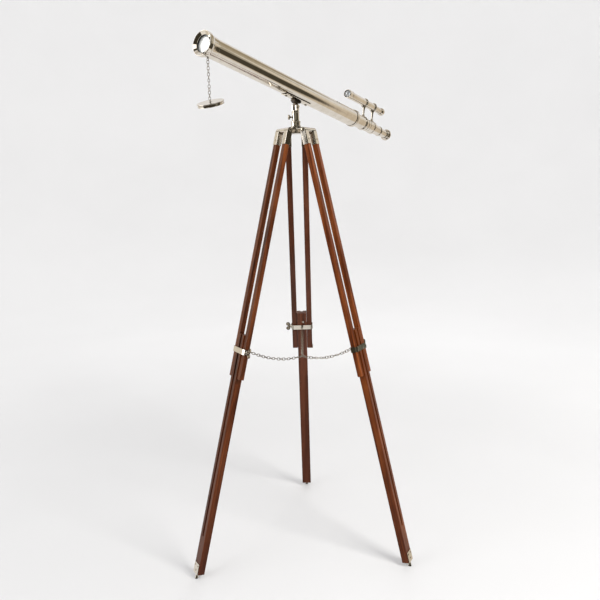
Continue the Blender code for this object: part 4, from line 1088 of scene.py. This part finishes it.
# Patches of the gloss dome, painted in order: azimuth from +Y toward +X, half width, lowest and
# highest elevation, all in degrees, then a colour.
DOME_RADIUS = 25000.0
DOME_SOFTNESS = 2.0
DOME_BASE = (0.80, 0.78, 0.76)
DOME_PATCHES = (
    (85.0, 25.0, -41.0, 8.0, (0.64, 0.55, 0.435)),
    (66.0, 16.0, 8.0, 18.0, (0.76, 0.69, 0.58)),
    (52.0, 20.0, 28.0, 48.0, (0.38, 0.32, 0.22)),
    (74.0, 9.0, 19.0, 42.0, (0.47, 0.41, 0.31)),
    (97.0, 16.0, 1.0, 20.0, (0.40, 0.36, 0.28)),
    (105.0, 27.0, -35.0, 1.0, (0.068, 0.058, 0.040)),
    (60.0, 9.0, -7.0, 6.0, (0.10, 0.10, 0.075)),
    (172.0, 76.0, -36.0, 58.0, (0.045, 0.038, 0.026)),
    (172.0, 60.0, -84.0, -46.0, (0.045, 0.038, 0.026)),
    (178.0, 24.0, -18.0, 16.0, (0.22, 0.20, 0.155)),
    (122.0, 9.0, -20.0, 0.0, (0.20, 0.19, 0.15)),
    (150.0, 9.0, 32.0, 50.0, (1.9, 1.85, 1.75)),
    (214.0, 9.0, 30.0, 50.0, (1.9, 1.85, 1.75)),
    (262.0, 22.0, -1.0, 44.0, (3.2, 3.15, 3.1)),
    (262.0, 16.0, -22.0, -3.0, (0.95, 0.92, 0.86)),
    (295.0, 16.0, -10.0, 20.0, (0.72, 0.66, 0.56)),
    (0.0, 180.0, 62.0, 95.0, (0.50, 0.45, 0.38)),
    (172.0, 60.0, 55.0, 84.0, (0.045, 0.038, 0.026)),
)


def sine(degrees):
    """Sine of an elevation, carried on past the poles so that an edge beyond one never shows."""
    inside = max(-90.0, min(90.0, degrees))
    return math.sin(math.radians(inside)) + 0.01 * (degrees - inside)


def stage_paper():
    graph = Graph("paper")
    soft = graph.noise(graph.place(), 1.2, 2.0, 0.5)
    distance = graph.add("ShaderNodeVectorMath", operation="LENGTH")
    graph.set(distance.inputs[0], graph.place())
    near = graph.ramp(soft, [(0.3, (0.585, 0.585, 0.59)), (0.7, (0.605, 0.605, 0.61))])
    far = graph.ramp(soft, [(0.3, (0.79, 0.79, 0.795)), (0.7, (0.81, 0.81, 0.815))])
    color = graph.mix(graph.step(distance.outputs["Value"], 0.8, 3.6), near, far)
    return graph.finish(
        Base_Color=color, Roughness=0.85, Specular_IOR_Level=0.1, Emission_Color=(1.0, 1.0, 1.0, 1.0),
        Emission_Strength=0.115)


def build_stage():
    """Pale floor that sweeps up into a round wall."""
    flat = 3400.0
    rise = 3200.0
    top = 6000.0
    profile = [(0.0, 0.0), (flat, 0.0)]
    steps = 24
    for step in range(1, steps + 1):
        angle = math.radians(90.0 * step / steps)
        profile.append((flat + rise * math.sin(angle), rise * (1.0 - math.cos(angle))))
    profile.append((flat + rise, top))
    sweep = revolve("floor_sweep", profile, False, Matrix.Identity(4), 96)
    sweep.data.materials.append(stage_paper())
    for face in sweep.data.polygons:
        face.use_smooth = True
    sweep.visible_glossy = False


def build_gloss_dome():
    """Large sphere that only reflections see: white paper below, dark room behind the camera, soft boxes."""
    graph = Graph("gloss_dome")
    coordinates = graph.add("ShaderNodeTexCoord").outputs["Object"]
    direction = graph.add("ShaderNodeVectorMath", operation="NORMALIZE")
    graph.set(direction.inputs[0], coordinates)
    level = graph.add("ShaderNodeVectorMath", operation="MULTIPLY")
    graph.set(level.inputs[0], coordinates)
    level.inputs[1].default_value = (1.0, 1.0, 0.0)
    heading = graph.add("ShaderNodeVectorMath", operation="NORMALIZE")
    graph.set(heading.inputs[0], level.outputs["Vector"])
    height = graph.add("ShaderNodeSeparateXYZ", {"Vector": direction.outputs["Vector"]}).outputs["Z"]
    color = (*DOME_BASE, 1.0)
    for azimuth, half_width, low, high, tint in DOME_PATCHES:
        angle = math.radians(azimuth)
        all_round = half_width >= 180.0
        bearing = graph.add("ShaderNodeVectorMath", operation="DOT_PRODUCT")
        graph.set(bearing.inputs[0], heading.outputs["Vector"])
        bearing.inputs[1].default_value = (math.sin(angle), math.cos(angle), 0.0)
        masks = [
            graph.step(height, sine(low - DOME_SOFTNESS), sine(low + DOME_SOFTNESS)),
            graph.step(height, sine(high + DOME_SOFTNESS), sine(high - DOME_SOFTNESS))]
        if not all_round:
            masks.append(graph.step(
                bearing.outputs["Value"], math.cos(math.radians(half_width + DOME_SOFTNESS)),
                math.cos(math.radians(half_width - DOME_SOFTNESS))))
        mask = masks[0]
        for other in masks[1:]:
            product = graph.add("ShaderNodeMath", operation="MULTIPLY")
            graph.set(product.inputs[0], mask)
            graph.set(product.inputs[1], other)
            mask = product.outputs["Value"]
        color = graph.mix(mask, color, (*tint, 1.0))
    material = graph.finish(
        Base_Color=(0.0, 0.0, 0.0, 1.0), Specular_IOR_Level=0.0, Emission_Color=color, Emission_Strength=1.0)
    profile = []
    steps = 48
    for step in range(steps + 1):
        angle = math.pi * step / steps
        across = DOME_RADIUS * math.sin(angle) if 0 < step < steps else 0.0
        profile.append((across, -DOME_RADIUS * math.cos(angle)))
    sphere = revolve("gloss_dome", profile, False, Matrix.Translation((0.0, 0.0, 1.2)), 96)
    sphere.data.materials.append(material)
    sphere.visible_camera = False
    sphere.visible_diffuse = False
    sphere.visible_shadow = False
    sphere.visible_transmission = False


def area_light(name, place, target, size, power, color):
    data = bpy.data.lights.new(name, "AREA")
    data.shape = "RECTANGLE"
    data.size = size[0]
    data.size_y = size[1]
    data.energy = power
    data.color = color
    light = bpy.data.objects.new(name, data)
    bpy.context.scene.collection.objects.link(light)
    toward = (Vector(target) - Vector(place)).normalized()
    light.visible_glossy = False
    aim = toward.to_track_quat("-Z", "Y").to_matrix().to_4x4()
    light.matrix_world = ROOT @ Matrix.Translation(place) @ aim
    return light


def build_lights():
    world = bpy.data.worlds.new("studio")
    world.use_nodes = True
    background = world.node_tree.nodes["Background"]
    background.inputs["Color"].default_value = (1.0, 0.99, 0.98, 1.0)
    background.inputs["Strength"].default_value = 0.70
    bpy.context.scene.world = world
    centre = (0.0, 0.0, 0.9)
    area_light("key", (2.4, -2.2, 3.0), centre, (1.5, 1.5), 135.0, (1.0, 0.98, 0.95))
    area_light("fill", (-2.8, -1.6, 2.4), centre, (2.2, 2.2), 26.0, (0.97, 0.98, 1.0))
    area_light("rim", (0.6, 3.0, 3.2), centre, (2.0, 1.4), 24.0, (1.0, 1.0, 1.0))


def build_camera():
    data = bpy.data.cameras.new("camera")
    data.lens = CAMERA_LENS
    data.sensor_width = CAMERA_SENSOR
    camera = bpy.data.objects.new("camera", data)
    bpy.context.scene.collection.objects.link(camera)
    backward = -Vector(CAMERA_FORWARD)
    camera.matrix_world = ROOT @ frame_from_axes(
        Vector(CAMERA_RIGHT), Vector(CAMERA_UP), backward, Vector(CAMERA_PLACE))
    bpy.context.scene.camera = camera


def build():
    bpy.context.scene.view_settings.view_transform = "Standard"
    build_camera()
    frames = {name: leg_frame(azimuth, radius) for name, (azimuth, radius) in LEGS.items()}
    tube_place = telescope_frame()
    build_hub(frames)
    station = build_head(tube_place)
    build_saddle(tube_place, station)
    build_optical_tube(tube_place)
    build_finder(tube_place)
    build_dust_cap(tube_place)
    stubs = {}
    for index, (leg, (place, length)) in enumerate(frames.items()):
        stubs[leg] = build_leg(leg, place, length, 11.0 * (index + 1))
    build_ring(stubs)
    build_stage()
    build_gloss_dome()
    build_lights()


build()
